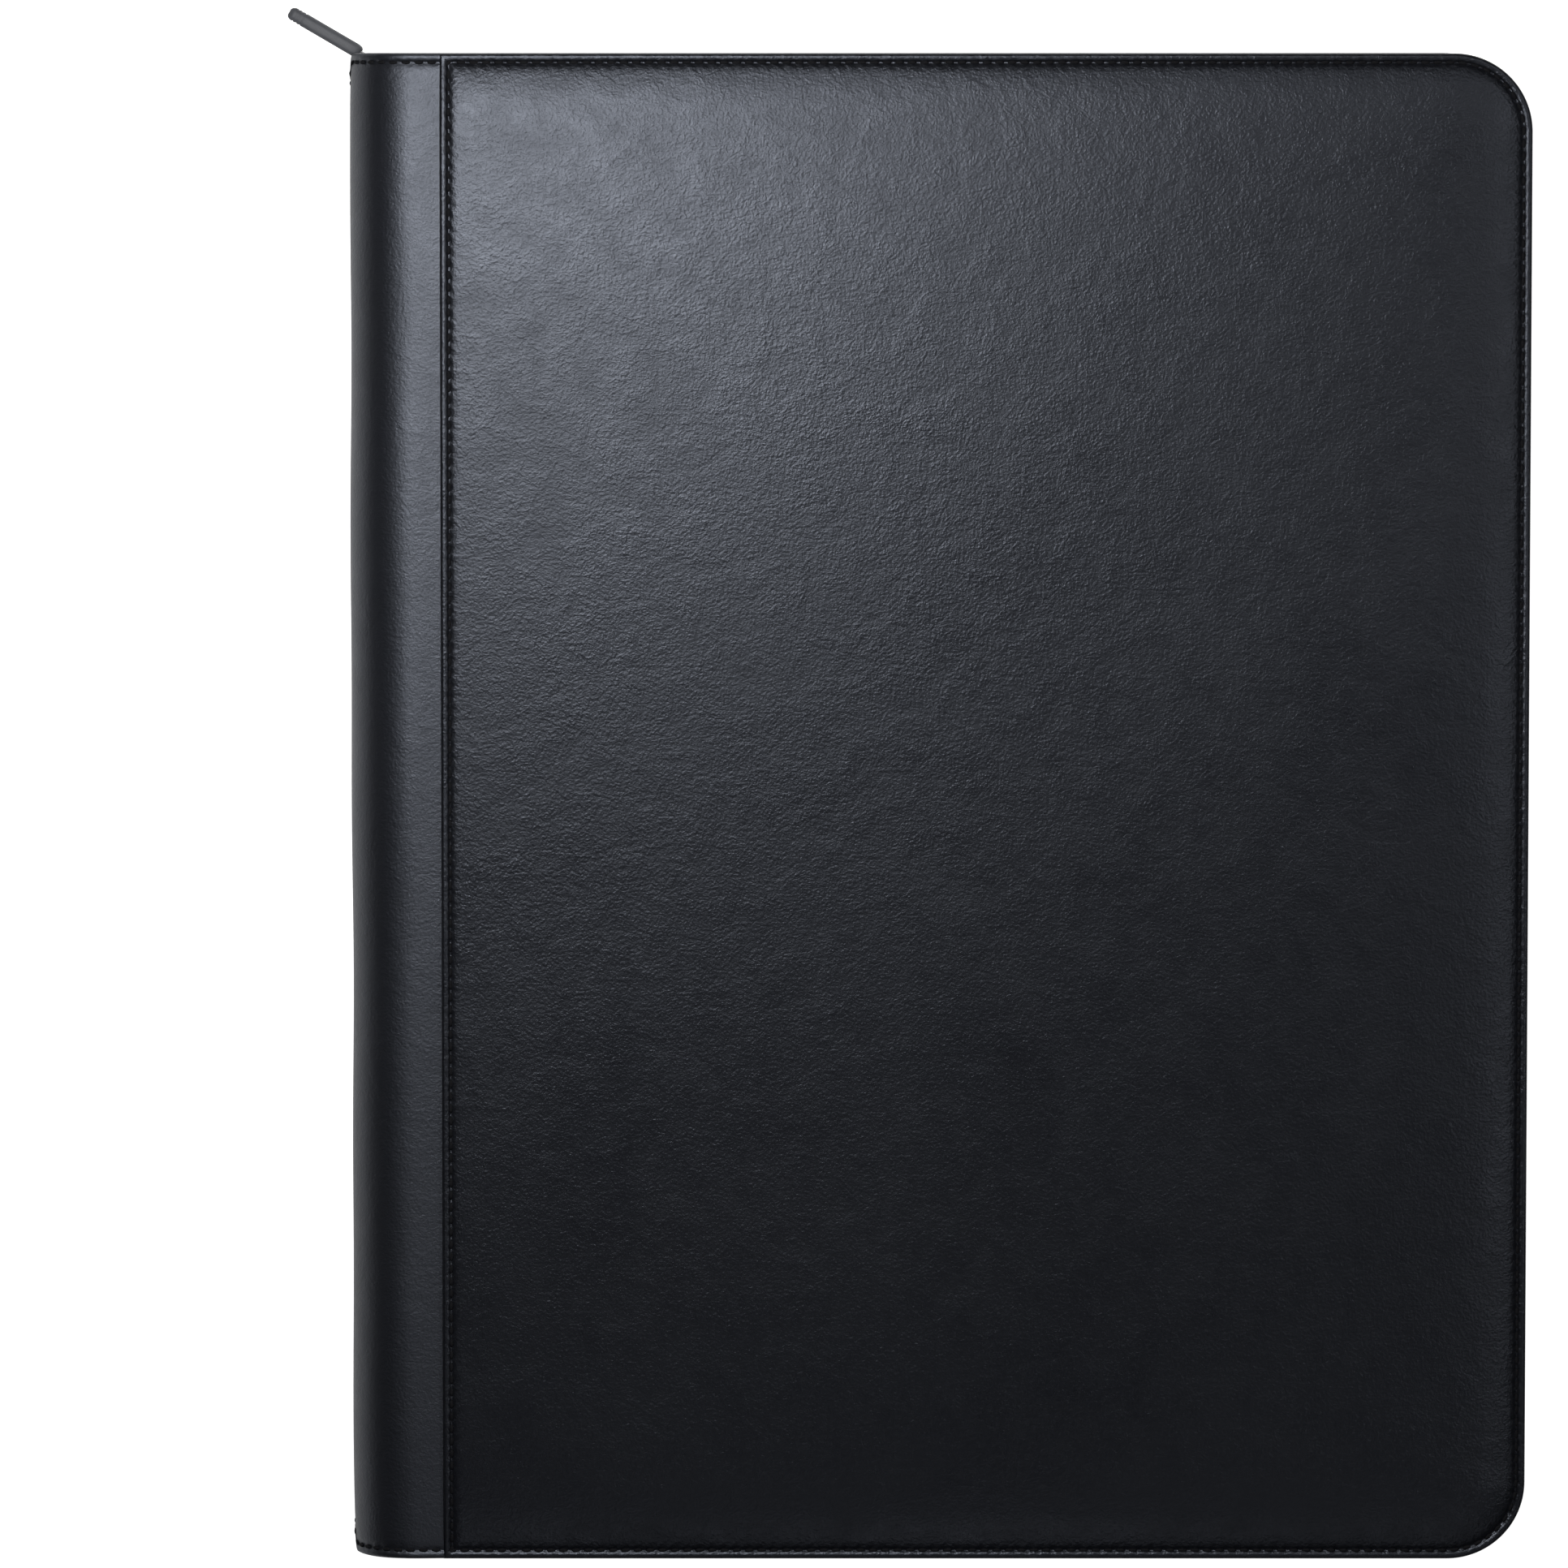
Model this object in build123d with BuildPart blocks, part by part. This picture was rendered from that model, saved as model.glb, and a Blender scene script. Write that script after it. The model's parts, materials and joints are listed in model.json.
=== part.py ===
from build123d import *

import os
from math import cos, radians, sin

# Zip-round trading card binder, lying closed on its back cover with the zip undone.
# Origin at the middle of the back cover's outer face, +X from the spine to the fore edge,
# +Y from the foot to the head, +Z up, millimetres. Every piece of the front cover and of
# the front half of the pages is the back one mirrored in the plane half-way up.

# ---- cards, pockets and leaves ----
card_w = 63.0
card_h = 88.0
card_t = 0.3
pocket_slack_w = 10.0  # a pocket's width beyond its card, its share of the welds included
pocket_slack_h = 10.5
columns = 4
rows = 4
weld_inset = 3.0  # from a closed weld to the card pushed against it
slot_w = 1.2  # the open slots that cards slide in by
leaves_per_side = 10
leaf_t = 1.45
leaf_gap = 0.33
leaf_corner_r = 3.0
film_t = 0.2
pocket_gap = 0.04  # leaf to card, and card to film
half_gap = 0.25  # from the uppermost film to the plane half-way up

# ---- cover ----
leather_t = 1.0
foam_t = 1.2
board_t = 1.8
lining_t = 0.5
core_clear = 0.2  # the board stands this far inside the foam's edge
corner_r = 22.0
strip_w = 28.0  # from the spine's face to the seam between spine strip and panel
spine_r = 18.0  # outer radius of the rounded spine
lip_deg = 0.6  # half of the parting between spine and cover, as an angle of the arc
page_lift = 2.2  # lining to the first leaf
page_start = 20.0  # spine's face to the leaves
fore_space = 20.0  # leaves to the fore edge
head_space = 15.5  # leaves to the head or foot edge

# ---- gusset and zip ----
wall_recess = 6.0  # the gusset stands this far inside the cover's edge
wall_corner_r = 16.0
wall_end = 9.0  # spine's face to the end of the zip
canvas_t = 1.0
canvas_drop = 8.0  # canvas edge to the plane half-way up
tape_t = 0.8
tape_lap = 4.0
coil_w = 2.6
coil_t = 2.4
coil_gap = 1.0  # coil to the plane half-way up
stop_l = 2.2
joint_gap = 0.3  # between pieces that follow each other along the zip
tab_clear = 1.5  # end tab above the curled lip

# ---- slider and pull ----
slider_l = 13.0
slider_w = 11.0
slider_corner_r = 3.0
slider_gap = 1.0  # parked slider to the spine's lining
plate_t = 1.2
plate_clear = 0.3  # coil to slider plate
post_l = 6.0
post_t = 1.2
bridge_w = 3.0
bridge_l = 8.4
bridge_h = 3.4
bridge_wall = 0.9
bridge_top = 1.0
bridge_r = 2.0
bridge_shift = 1.0  # bridge's middle behind the slider's middle
wire_d = 1.6
wire_clear = 0.2  # link wire under the bridge
link_l = 8.0  # between the middles of the link's two cross bars
link_w = 6.4  # between the middles of its two side bars
pull_deg = 151.0  # direction of the pull at rest, from +X
tab_l = 20.0
tab_w = 10.5
tab_t = 3.2
tab_r = 4.5
tab_soft_r = 1.0
ear_clear = 0.2
eye_clear = 0.15
neck_l = 2.6  # far cross bar to the tab's shoulder

# ---- spine and binding ----
notch_w = 16.0  # across the notch that lets the pull pass the spine's end
bar_t = 1.5
bar_most = 12.0
bar_clear = 1.0  # binding strip to where the spine starts to round
thread_t = 0.6
thread_w = 0.9
thread_reach = 7.0
thread_pitch = 9.0
thread_deg = 35.0
margin_gap = 0.6  # thread to the page margins
margin_t = 2.2  # depth of the gathered margins where they meet the binding

# ---- worked out ----
pocket_w = card_w + pocket_slack_w
pocket_h = card_h + pocket_slack_h
page_w = columns * pocket_w
page_h = rows * pocket_h
leaf_pitch = leaf_t + leaf_gap
stack_t = (leaves_per_side - 1) * leaf_pitch + leaf_t
panel_t = leather_t + foam_t + board_t + lining_t
core_top = panel_t - lining_t
first_leaf_z = panel_t + page_lift
cards_z = first_leaf_z + stack_t + pocket_gap
film_z = cards_z + card_t + pocket_gap
mid_z = film_z + film_t + half_gap
thickness = 2 * mid_z
bar_w = min(bar_most, thickness - 2 * spine_r - 2 * bar_clear)
cover_w = page_start + page_w + fore_space
cover_h = page_h + 2 * head_space

spine_x = -cover_w / 2
fore_x = cover_w / 2
head_y = cover_h / 2
seam_x = spine_x + strip_w
curl_x = spine_x + spine_r  # where the flat strip turns up into the spine
page_x = spine_x + page_start
page_mid_x = page_x + page_w / 2
wall_y = head_y - wall_recess
wall_x = spine_x + wall_end
canvas_top = mid_z - canvas_drop
tape_z = canvas_top - tape_lap
coil_z = mid_z - coil_gap - coil_w
coil_depth = canvas_t + tape_t / 2 - coil_t / 2  # coil's outer side in from the wall's face
lip_top = spine_r - (spine_r - panel_t) * cos(radians(45))
tab_z = lip_top + tab_clear

slider_x = spine_x + panel_t + slider_gap + slider_l / 2
plate_y = wall_y - coil_depth + plate_clear
crown_y = plate_y + plate_t
link_y = crown_y + bridge_h - bridge_top - wire_clear - wire_d / 2
link_x = slider_x - bridge_shift - bridge_l / 2 + bridge_wall + wire_clear / 2 + wire_d / 2
bar_x = spine_x + panel_t
margin_x = bar_x + bar_t + thread_t + margin_gap

middle = Plane.XY.offset(mid_z)
pull_dir = (cos(radians(pull_deg)), sin(radians(pull_deg)), 0)
pull_plane = Plane(origin=(link_x, link_y, mid_z), x_dir=pull_dir, z_dir=(0, 0, 1))
sides = ("back", "front")

os.makedirs("parts", exist_ok=True)


def save(part, name):
    """Label a finished piece and write it as its own STEP file."""
    part.label = name
    export_step(part, f"parts/{name}.step")


def round_plan(inset, radius, x_low):
    """Plan of a layer, inset from the free edges, with round fore corners, ending at x_low."""
    x_high = fore_x - inset
    with BuildSketch() as plan:
        with Locations(((x_low + x_high) / 2, 0)):
            Rectangle(x_high - x_low, cover_h - 2 * inset)
        fillet(plan.vertices().group_by(Axis.X)[-1], radius)
    return plan.sketch


def cover_plan(inset, x_low):
    return round_plan(inset, corner_r - inset, x_low)


def wall_plan(depth, x_low):
    """Plan inside the gusset's face, depth mm in from it."""
    return round_plan(wall_recess + depth, wall_corner_r - depth, x_low)


def curl_profile(outer, inner, flat_end):
    """Section of a cover layer by the spine: flat up to curl_x, then an eighth of a circle."""
    centre = (curl_x, spine_r)
    span = 45 - lip_deg
    with BuildSketch(Plane.XZ) as profile:
        with BuildLine():
            under = Line((flat_end, outer), (curl_x, outer))
            turn = CenterArc(centre, spine_r - outer, 270, -span)
            back = CenterArc(centre, spine_r - inner, 270 - span, span)
            Line(turn @ 1, back @ 0)
            over = Line(back @ 1, (flat_end, inner))
            Line(over @ 1, under @ 0)
        make_face()
    return profile.sketch


def spine_profile(outer, inner):
    """Section of a spine layer: straight up the middle, an eighth of a circle at each end."""
    low = (curl_x, spine_r)
    high = (curl_x, thickness - spine_r)
    span = 45 - lip_deg
    with BuildSketch(Plane.XZ) as profile:
        with BuildLine():
            foot = CenterArc(low, spine_r - outer, 180 + span, -span)
            head = CenterArc(high, spine_r - outer, 180, -span)
            Line(foot @ 1, head @ 0)
            inner_head = CenterArc(high, spine_r - inner, 180 - span, span)
            inner_foot = CenterArc(low, spine_r - inner, 180, span)
            Line(inner_head @ 1, inner_foot @ 0)
            Line(head @ 1, inner_head @ 0)
            Line(inner_foot @ 1, foot @ 0)
        make_face()
    return profile.sketch


# ---- the two covers ----


def panel_leather(side):
    """Outer leather of a cover, turned up round the free edges of foam and board."""
    with BuildPart() as leather:
        extrude(cover_plan(0, seam_x), amount=core_top)
        with BuildSketch(Plane.XY.offset(leather_t)):
            add(cover_plan(leather_t, seam_x + leather_t))
        extrude(amount=core_top - leather_t, mode=Mode.SUBTRACT)
        if side == "front":
            mirror(about=middle, mode=Mode.REPLACE)
    save(leather.part, f"{side}_panel_leather")


def panel_foam(side):
    """Thin padding between leather and board."""
    with BuildPart() as foam:
        with BuildSketch(Plane.XY.offset(leather_t)):
            add(cover_plan(leather_t, seam_x + leather_t))
        extrude(amount=foam_t)
        if side == "front":
            mirror(about=middle, mode=Mode.REPLACE)
    save(foam.part, f"{side}_foam")


def panel_board(side):
    """Stiff board that keeps the cover flat."""
    inset = leather_t + core_clear
    with BuildPart() as board:
        with BuildSketch(Plane.XY.offset(leather_t + foam_t)):
            add(cover_plan(inset, seam_x + inset))
        extrude(amount=board_t)
        if side == "front":
            mirror(about=middle, mode=Mode.REPLACE)
    save(board.part, f"{side}_board")


def panel_lining(side):
    """Inner lining, one sheet over the board and on into the rounded spine."""
    with BuildPart() as lining:
        with BuildSketch(Plane.XY.offset(core_top)):
            add(cover_plan(leather_t, curl_x))
        extrude(amount=lining_t)
        extrude(curl_profile(core_top, panel_t, seam_x), amount=head_y - leather_t, both=True)
        if side == "front":
            mirror(about=middle, mode=Mode.REPLACE)
    save(lining.part, f"{side}_lining")


def hinge_strip(side):
    """The cover's share of the spine strip, from the seam to half-way round the turn."""
    with BuildPart() as strip:
        extrude(curl_profile(0, leather_t, seam_x), amount=head_y, both=True)
        if side == "front":
            mirror(about=middle, mode=Mode.REPLACE)
    save(strip.part, f"{side}_hinge_strip")


def hinge_foam(side):
    """Soft filling between the spine strip and the lining."""
    with BuildPart() as filling:
        extrude(curl_profile(leather_t, core_top, seam_x), amount=head_y - leather_t, both=True)
        if side == "front":
            mirror(about=middle, mode=Mode.REPLACE)
    save(filling.part, f"{side}_hinge_foam")


def gusset(side):
    """Canvas wall round head, fore edge and foot."""
    with BuildPart() as canvas:
        with BuildSketch(Plane.XY.offset(panel_t)):
            add(wall_plan(0, curl_x))
            add(wall_plan(canvas_t, curl_x - canvas_t), mode=Mode.SUBTRACT)
        extrude(amount=canvas_top - panel_t)
        if side == "front":
            mirror(about=middle, mode=Mode.REPLACE)
    save(canvas.part, f"{side}_gusset")


def zip_tape(side):
    """Twill tape lapped on the inside of the canvas."""
    depth = canvas_t + tape_t
    with BuildPart() as tape:
        with BuildSketch(Plane.XY.offset(tape_z)):
            add(wall_plan(canvas_t, wall_x))
            add(wall_plan(depth, wall_x - depth), mode=Mode.SUBTRACT)
        extrude(amount=coil_z - tape_z)
        if side == "front":
            mirror(about=middle, mode=Mode.REPLACE)
    save(tape.part, f"{side}_zip_tape")


def zip_coil(side):
    """Coil along the tape's free edge, as the solid strip that the turns fill."""
    start = wall_x + stop_l + joint_gap
    with BuildPart() as coil:
        with BuildSketch(Plane.XY.offset(coil_z)):
            add(wall_plan(coil_depth, start))
            add(wall_plan(coil_depth + coil_t, start - coil_t), mode=Mode.SUBTRACT)
        extrude(amount=coil_w)
        if side == "front":
            mirror(about=middle, mode=Mode.REPLACE)
    save(coil.part, f"{side}_zip_coil")


def zip_stops(side):
    """Stops crimped on the two ends of the coil."""
    stop_y = wall_y - coil_depth - coil_t / 2
    with BuildPart() as stops:
        with BuildSketch(Plane.XY.offset(coil_z)):
            with Locations((wall_x + stop_l / 2, stop_y), (wall_x + stop_l / 2, -stop_y)):
                Rectangle(stop_l, coil_t)
        extrude(amount=coil_w)
        if side == "front":
            mirror(about=middle, mode=Mode.REPLACE)
    save(stops.part, f"{side}_zip_stops")


def end_tabs(side):
    """Smooth tabs that close the ends of the gusset beside the spine."""
    length = curl_x - joint_gap - wall_x
    tab_y = wall_y - canvas_t / 2
    with BuildPart() as tabs:
        with BuildSketch(Plane.XY.offset(tab_z)):
            with Locations((wall_x + length / 2, tab_y), (wall_x + length / 2, -tab_y)):
                Rectangle(length, canvas_t)
        extrude(amount=canvas_top - tab_z)
        if side == "front":
            mirror(about=middle, mode=Mode.REPLACE)
    save(tabs.part, f"{side}_end_tabs")


for cover_side in sides:
    panel_leather(cover_side)
    panel_foam(cover_side)
    panel_board(cover_side)
    panel_lining(cover_side)
    hinge_strip(cover_side)
    hinge_foam(cover_side)
    gusset(cover_side)
    zip_tape(cover_side)
    zip_coil(cover_side)
    zip_stops(cover_side)
    end_tabs(cover_side)


# ---- the spine ----


def spine_layer(name, outer, inner, inset):
    """One layer of the spine, notched at head and foot where the zip ends."""
    with BuildPart() as layer:
        extrude(spine_profile(outer, inner), amount=head_y - inset, both=True)
        with Locations((spine_x, head_y, mid_z), (spine_x, -head_y, mid_z)):
            Box(2 * spine_r, 2 * (wall_recess + inset), notch_w + 2 * inset, mode=Mode.SUBTRACT)
    save(layer.part, name)


def spine_leather():
    """Leather of the spine between the gusset walls, and its four ends beside the notches."""
    wall_y = head_y - wall_recess
    with BuildPart() as middle:
        extrude(spine_profile(0, leather_t), amount=wall_y, both=True)
    save(middle.part, "spine_leather")
    with BuildPart() as ends:
        extrude(spine_profile(0, leather_t), amount=head_y, both=True)
        with Locations((spine_x, 0, mid_z)):
            Box(4 * spine_r, 2 * wall_y, thickness, mode=Mode.SUBTRACT)
        with Locations((spine_x, head_y, mid_z), (spine_x, -head_y, mid_z)):
            Box(2 * spine_r, 2 * wall_recess, notch_w, mode=Mode.SUBTRACT)
    save(ends.part, "spine_ends")


def binding_strip():
    """Strip down the middle of the spine that the page margins are sewn through."""
    with BuildPart() as strip:
        with BuildSketch(Plane.YZ.offset(bar_x)):
            with Locations((0, mid_z)):
                RectangleRounded(page_h, bar_w, bar_t)
        extrude(amount=bar_t)
    save(strip.part, "binding_strip")


def binding_thread():
    """Zigzag sewing on the binding strip, one short bar for each stitch."""
    count = int(page_h / thread_pitch) - 1
    first_y = -(count - 1) * thread_pitch / 2
    with BuildPart() as thread:
        with BuildSketch(Plane.YZ.offset(bar_x + bar_t)):
            for n in range(count):
                lean = thread_deg if n % 2 else -thread_deg
                with Locations(Location((first_y + n * thread_pitch, mid_z), lean)):
                    SlotOverall(thread_reach, thread_w, 90)
        extrude(amount=thread_t)
    save(thread.part, "binding_thread")


spine_leather()
spine_layer("spine_foam", leather_t, core_top, leather_t)
spine_layer("spine_lining", core_top, panel_t, leather_t)
binding_strip()
binding_thread()


# ---- the pages ----


def leaf(number):
    """One leaf of pockets, as the solid that its backing and films fill."""
    low = first_leaf_z + (number - 1) * leaf_pitch
    if number > leaves_per_side:
        low = thickness - first_leaf_z - leaf_t - (2 * leaves_per_side - number) * leaf_pitch
    with BuildPart() as sheet:
        with BuildSketch(Plane.XY.offset(low)):
            with Locations((page_mid_x, 0)):
                RectangleRounded(page_w, page_h, leaf_corner_r)
        extrude(amount=leaf_t)
    save(sheet.part, f"leaf_{number:02d}")


def page_margins(side):
    """Inner margins of half the leaves, gathered from the stack's edge to the binding."""
    stack_x = page_x - joint_gap
    with BuildPart() as margins:
        with BuildSketch(Plane.XZ):
            with BuildLine():
                Polyline(
                    (stack_x, first_leaf_z),
                    (stack_x, first_leaf_z + stack_t),
                    (margin_x, mid_z - half_gap),
                    (margin_x, mid_z - half_gap - margin_t),
                    close=True,
                )
            make_face()
        extrude(amount=page_h / 2, both=True)
        if side == "front":
            mirror(about=middle, mode=Mode.REPLACE)
    save(margins.part, f"{side}_page_margins")


def cards(side):
    """Cards in the uppermost pockets, each pushed against its column's closed weld."""
    outer = page_w / 2 - weld_inset - card_w / 2
    inner = weld_inset + card_w / 2
    with BuildPart() as deck:
        with BuildSketch(Plane.XY.offset(cards_z)):
            for x in (-outer, -inner, inner, outer):
                with Locations((page_mid_x + x, 0)):
                    with GridLocations(1, pocket_h, 1, rows):
                        Rectangle(card_w, card_h)
        extrude(amount=card_t)
        if side == "front":
            mirror(about=middle, mode=Mode.REPLACE)
    save(deck.part, f"{side}_cards")


def pocket_films(side):
    """Clear films over the pockets: one column, two columns, one column, slots between."""
    with BuildPart() as films:
        with BuildSketch(Plane.XY.offset(film_z)):
            with Locations((page_mid_x, 0)):
                RectangleRounded(page_w, page_h, leaf_corner_r)
                with GridLocations(2 * pocket_w, 1, 2, 1):
                    Rectangle(slot_w, page_h, mode=Mode.SUBTRACT)
        extrude(amount=film_t)
        if side == "front":
            mirror(about=middle, mode=Mode.REPLACE)
    save(films.part, f"{side}_pocket_films")


for leaf_number in range(1, 2 * leaves_per_side + 1):
    leaf(leaf_number)
for page_side in sides:
    page_margins(page_side)
    cards(page_side)
    pocket_films(page_side)


# ---- the zip slider and its pull ----


def slider_body():
    """Two plates either side of the coils, joined by the post that parts them."""
    inner_y = plate_y - 2 * plate_clear - coil_t
    with BuildPart() as body:
        with BuildSketch(Plane.XZ.offset(-crown_y)):
            with Locations((slider_x, mid_z)):
                RectangleRounded(slider_l, slider_w, slider_corner_r)
        extrude(amount=plate_t)
        with BuildSketch(Plane.XZ.offset(-inner_y)):
            with Locations((slider_x, mid_z)):
                RectangleRounded(slider_l, slider_w, slider_corner_r)
        extrude(amount=plate_t)
        with BuildSketch(Plane.XZ.offset(-plate_y)):
            with Locations((slider_x, mid_z)):
                SlotOverall(post_l, post_t)
        extrude(amount=plate_y - inner_y)
    save(body.part, "slider_body")


def slider_bridge():
    """Arch on the outer plate that the pull's link turns under."""
    window_l = bridge_l - 2 * bridge_wall
    window_h = bridge_h - bridge_top
    with BuildPart() as bridge:
        with BuildSketch(Plane.XY.offset(mid_z - bridge_w / 2)) as arch:
            with Locations((slider_x - bridge_shift, crown_y + bridge_h / 2)):
                Rectangle(bridge_l, bridge_h)
            fillet(arch.vertices().group_by(Axis.Y)[-1], bridge_r)
            with Locations((slider_x - bridge_shift, crown_y + window_h / 2)):
                Rectangle(window_l, window_h, mode=Mode.SUBTRACT)
        extrude(amount=bridge_w)
    save(bridge.part, "slider_bridge")


def pull_link():
    """Closed link of round wire between the slider's bridge and the pull tab."""
    with BuildPart() as link:
        with BuildLine(pull_plane):
            loop = Polyline(
                (0, 0, 0),
                (0, 0, link_w / 2),
                (link_l, 0, link_w / 2),
                (link_l, 0, -link_w / 2),
                (0, 0, -link_w / 2),
                close=True,
            )
        with BuildSketch(Plane(origin=loop @ 0, z_dir=loop % 0)):
            Circle(wire_d / 2)
        sweep(transition=Transition.RIGHT)
    save(link.part, "pull_link")


def pull_tab():
    """Rubber tab with an ear that turns on the link's far cross bar."""
    ear_w = link_w - wire_d - 2 * ear_clear
    shoulder = link_l + neck_l
    side_plane = Plane(origin=pull_plane.origin, x_dir=pull_dir, z_dir=pull_plane.y_dir)
    with BuildPart() as tab:
        with BuildSketch(side_plane.offset(-tab_t / 2)):
            with Locations((shoulder + tab_l / 2, 0)):
                RectangleRounded(tab_l, tab_w, tab_r)
        extrude(amount=tab_t)
        flats = tab.faces().sort_by(Axis(pull_plane.origin, pull_plane.y_dir))
        fillet(flats[0].edges() + flats[-1].edges(), tab_soft_r)
        with BuildSketch(pull_plane.offset(-ear_w / 2)):
            with Locations((link_l, 0)):
                Circle(tab_t / 2)
            with Locations((link_l + (neck_l + tab_soft_r) / 2, 0)):
                Rectangle(neck_l + tab_soft_r, tab_t)
        extrude(amount=ear_w)
        with BuildSketch(pull_plane.offset(-ear_w)):
            with Locations((link_l, 0)):
                Circle(wire_d / 2 + eye_clear)
        extrude(amount=2 * ear_w, mode=Mode.SUBTRACT)
    save(tab.part, "pull_tab")


slider_body()
slider_bridge()
pull_link()
pull_tab()
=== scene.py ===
import bmesh
import bpy
import json
import math
import random
from mathutils import Matrix, Vector

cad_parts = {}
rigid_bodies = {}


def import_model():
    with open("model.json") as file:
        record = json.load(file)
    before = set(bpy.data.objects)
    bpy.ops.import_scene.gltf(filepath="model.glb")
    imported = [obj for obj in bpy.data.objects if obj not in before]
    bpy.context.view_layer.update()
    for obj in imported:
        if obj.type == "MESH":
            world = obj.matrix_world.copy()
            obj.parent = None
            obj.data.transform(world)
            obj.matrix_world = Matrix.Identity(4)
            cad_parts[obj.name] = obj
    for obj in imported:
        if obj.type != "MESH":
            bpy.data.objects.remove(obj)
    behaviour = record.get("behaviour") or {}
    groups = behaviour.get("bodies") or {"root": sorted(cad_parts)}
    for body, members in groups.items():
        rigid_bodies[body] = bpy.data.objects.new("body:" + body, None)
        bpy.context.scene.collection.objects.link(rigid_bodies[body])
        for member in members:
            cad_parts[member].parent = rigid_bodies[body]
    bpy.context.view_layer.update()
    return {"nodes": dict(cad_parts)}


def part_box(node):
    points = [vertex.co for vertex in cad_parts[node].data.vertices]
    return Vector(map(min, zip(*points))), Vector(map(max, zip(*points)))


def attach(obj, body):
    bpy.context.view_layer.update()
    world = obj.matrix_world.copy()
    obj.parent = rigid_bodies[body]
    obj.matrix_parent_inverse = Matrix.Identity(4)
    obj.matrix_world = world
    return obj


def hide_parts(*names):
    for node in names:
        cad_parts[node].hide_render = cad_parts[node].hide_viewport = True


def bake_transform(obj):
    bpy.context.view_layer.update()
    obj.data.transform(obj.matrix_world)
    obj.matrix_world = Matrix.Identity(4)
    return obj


for leftover in {"Cube", "Light", "Camera"} & set(bpy.data.objects.keys()):
    bpy.data.objects.remove(bpy.data.objects[leftover])
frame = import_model()

# Sizes below are in millimetres; places come from the frame's own boxes.
MM = 0.001


def span(node):
    """Lowest and highest corner of a node, in millimetres."""
    low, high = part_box(node)
    return Vector(low) / MM, Vector(high) / MM


panel_low, panel_high = span("front_panel_leather")
gusset_low, gusset_high = span("back_gusset")
tape_low, tape_high = span("back_zip_tape")
coil_low, coil_high = span("back_zip_coil")
margin_low = span("back_page_margins")[0]
leaf_low, leaf_high = span("leaf_10")

thickness = panel_high.z
mid_z = thickness / 2
fore_x = panel_high.x
head_y = panel_high.y
seam_x = panel_low.x
spine_x = span("spine_leather")[0].x
curl_x = gusset_low.x
spine_r = curl_x - spine_x
corner_r = 22.0
panel_t = gusset_low.z
leather_t = span("back_foam")[0].z
wall_recess = fore_x - gusset_high.x
wall_corner_r = 16.0
wall_face_y = gusset_high.y
wall_start_x = tape_low.x
page_mid_x = (leaf_low.x + leaf_high.x) / 2
page_w = leaf_high.x - leaf_low.x
page_h = leaf_high.y - leaf_low.y
pocket_w = page_w / 4
pocket_h = page_h / 4

stitch_pitch = 3.5
stitch_inset = 2.5
notch_drop = 6.0
notch_half = 8.0
lap = 2.0
groove_depth = 0.44
skin_step = 0.95  # about how far apart the leather's points lie
card_w = 63.0
card_h = 88.0


# ---- meshes ----


def mesh_piece(name, points, faces, finish, smooth=True):
    """A closed mesh from points in millimetres, with its faces turned outwards."""
    mesh = bpy.data.meshes.new(name)
    mesh.from_pydata([Vector(p) * MM for p in points], [], faces)
    work = bmesh.new()
    work.from_mesh(mesh)
    bmesh.ops.recalc_face_normals(work, faces=work.faces)
    work.to_mesh(mesh)
    work.free()
    mesh.polygons.foreach_set("use_smooth", [smooth] * len(mesh.polygons))
    mesh.materials.append(finish)
    piece = bpy.data.objects.new(name, mesh)
    bpy.context.collection.objects.link(piece)
    return piece


def loft(name, loops, finish):
    """Skin over closed loops of equal length, capped at both ends."""
    size = len(loops[0])
    points = [p for loop in loops for p in loop]
    faces = [list(range(size)), list(range(len(points) - size, len(points)))]
    for row in range(len(loops) - 1):
        base = row * size
        for i in range(size):
            j = (i + 1) % size
            faces.append((base + i, base + j, base + size + j, base + size + i))
    return mesh_piece(name, points, faces, finish)


def soften(piece, degrees=40):
    """Smooth shading that stays crisp at edges sharper than the given angle."""
    piece.data.set_sharp_from_angle(angle=math.radians(degrees))
    return piece


def join(name, parts):
    """One piece from several."""
    points, faces, looks = [], [], []
    for part in parts:
        base = len(points)
        points += [v.co.copy() for v in part.data.vertices]
        faces += [tuple(base + i for i in f.vertices) for f in part.data.polygons]
        looks += [f.use_smooth for f in part.data.polygons]
    mesh = bpy.data.meshes.new(name)
    mesh.from_pydata(points, [], faces)
    mesh.polygons.foreach_set("use_smooth", looks)
    mesh.materials.append(parts[0].data.materials[0])
    for part in parts:
        bpy.data.objects.remove(part)
    piece = bpy.data.objects.new(name, mesh)
    bpy.context.collection.objects.link(piece)
    return piece


def smooth_step(t):
    t = min(1.0, max(0.0, t))
    return t * t * (3 - 2 * t)


def steps(low, high, size):
    """Evenly spaced values from low to high, about size apart."""
    count = max(1, round(abs(high - low) / size))
    return [low + (high - low) * i / count for i in range(count + 1)]


def shares(low, high, count):
    """The given number of even steps from low to high."""
    return [low + (high - low) * i / count for i in range(count + 1)]


def flip(point, side):
    """A back cover point, or its mirror on the front cover."""
    x, y, z = point
    return (x, y, z) if side == "back" else (x, y, thickness - z)


# ---- what repeats along a line ----


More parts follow.
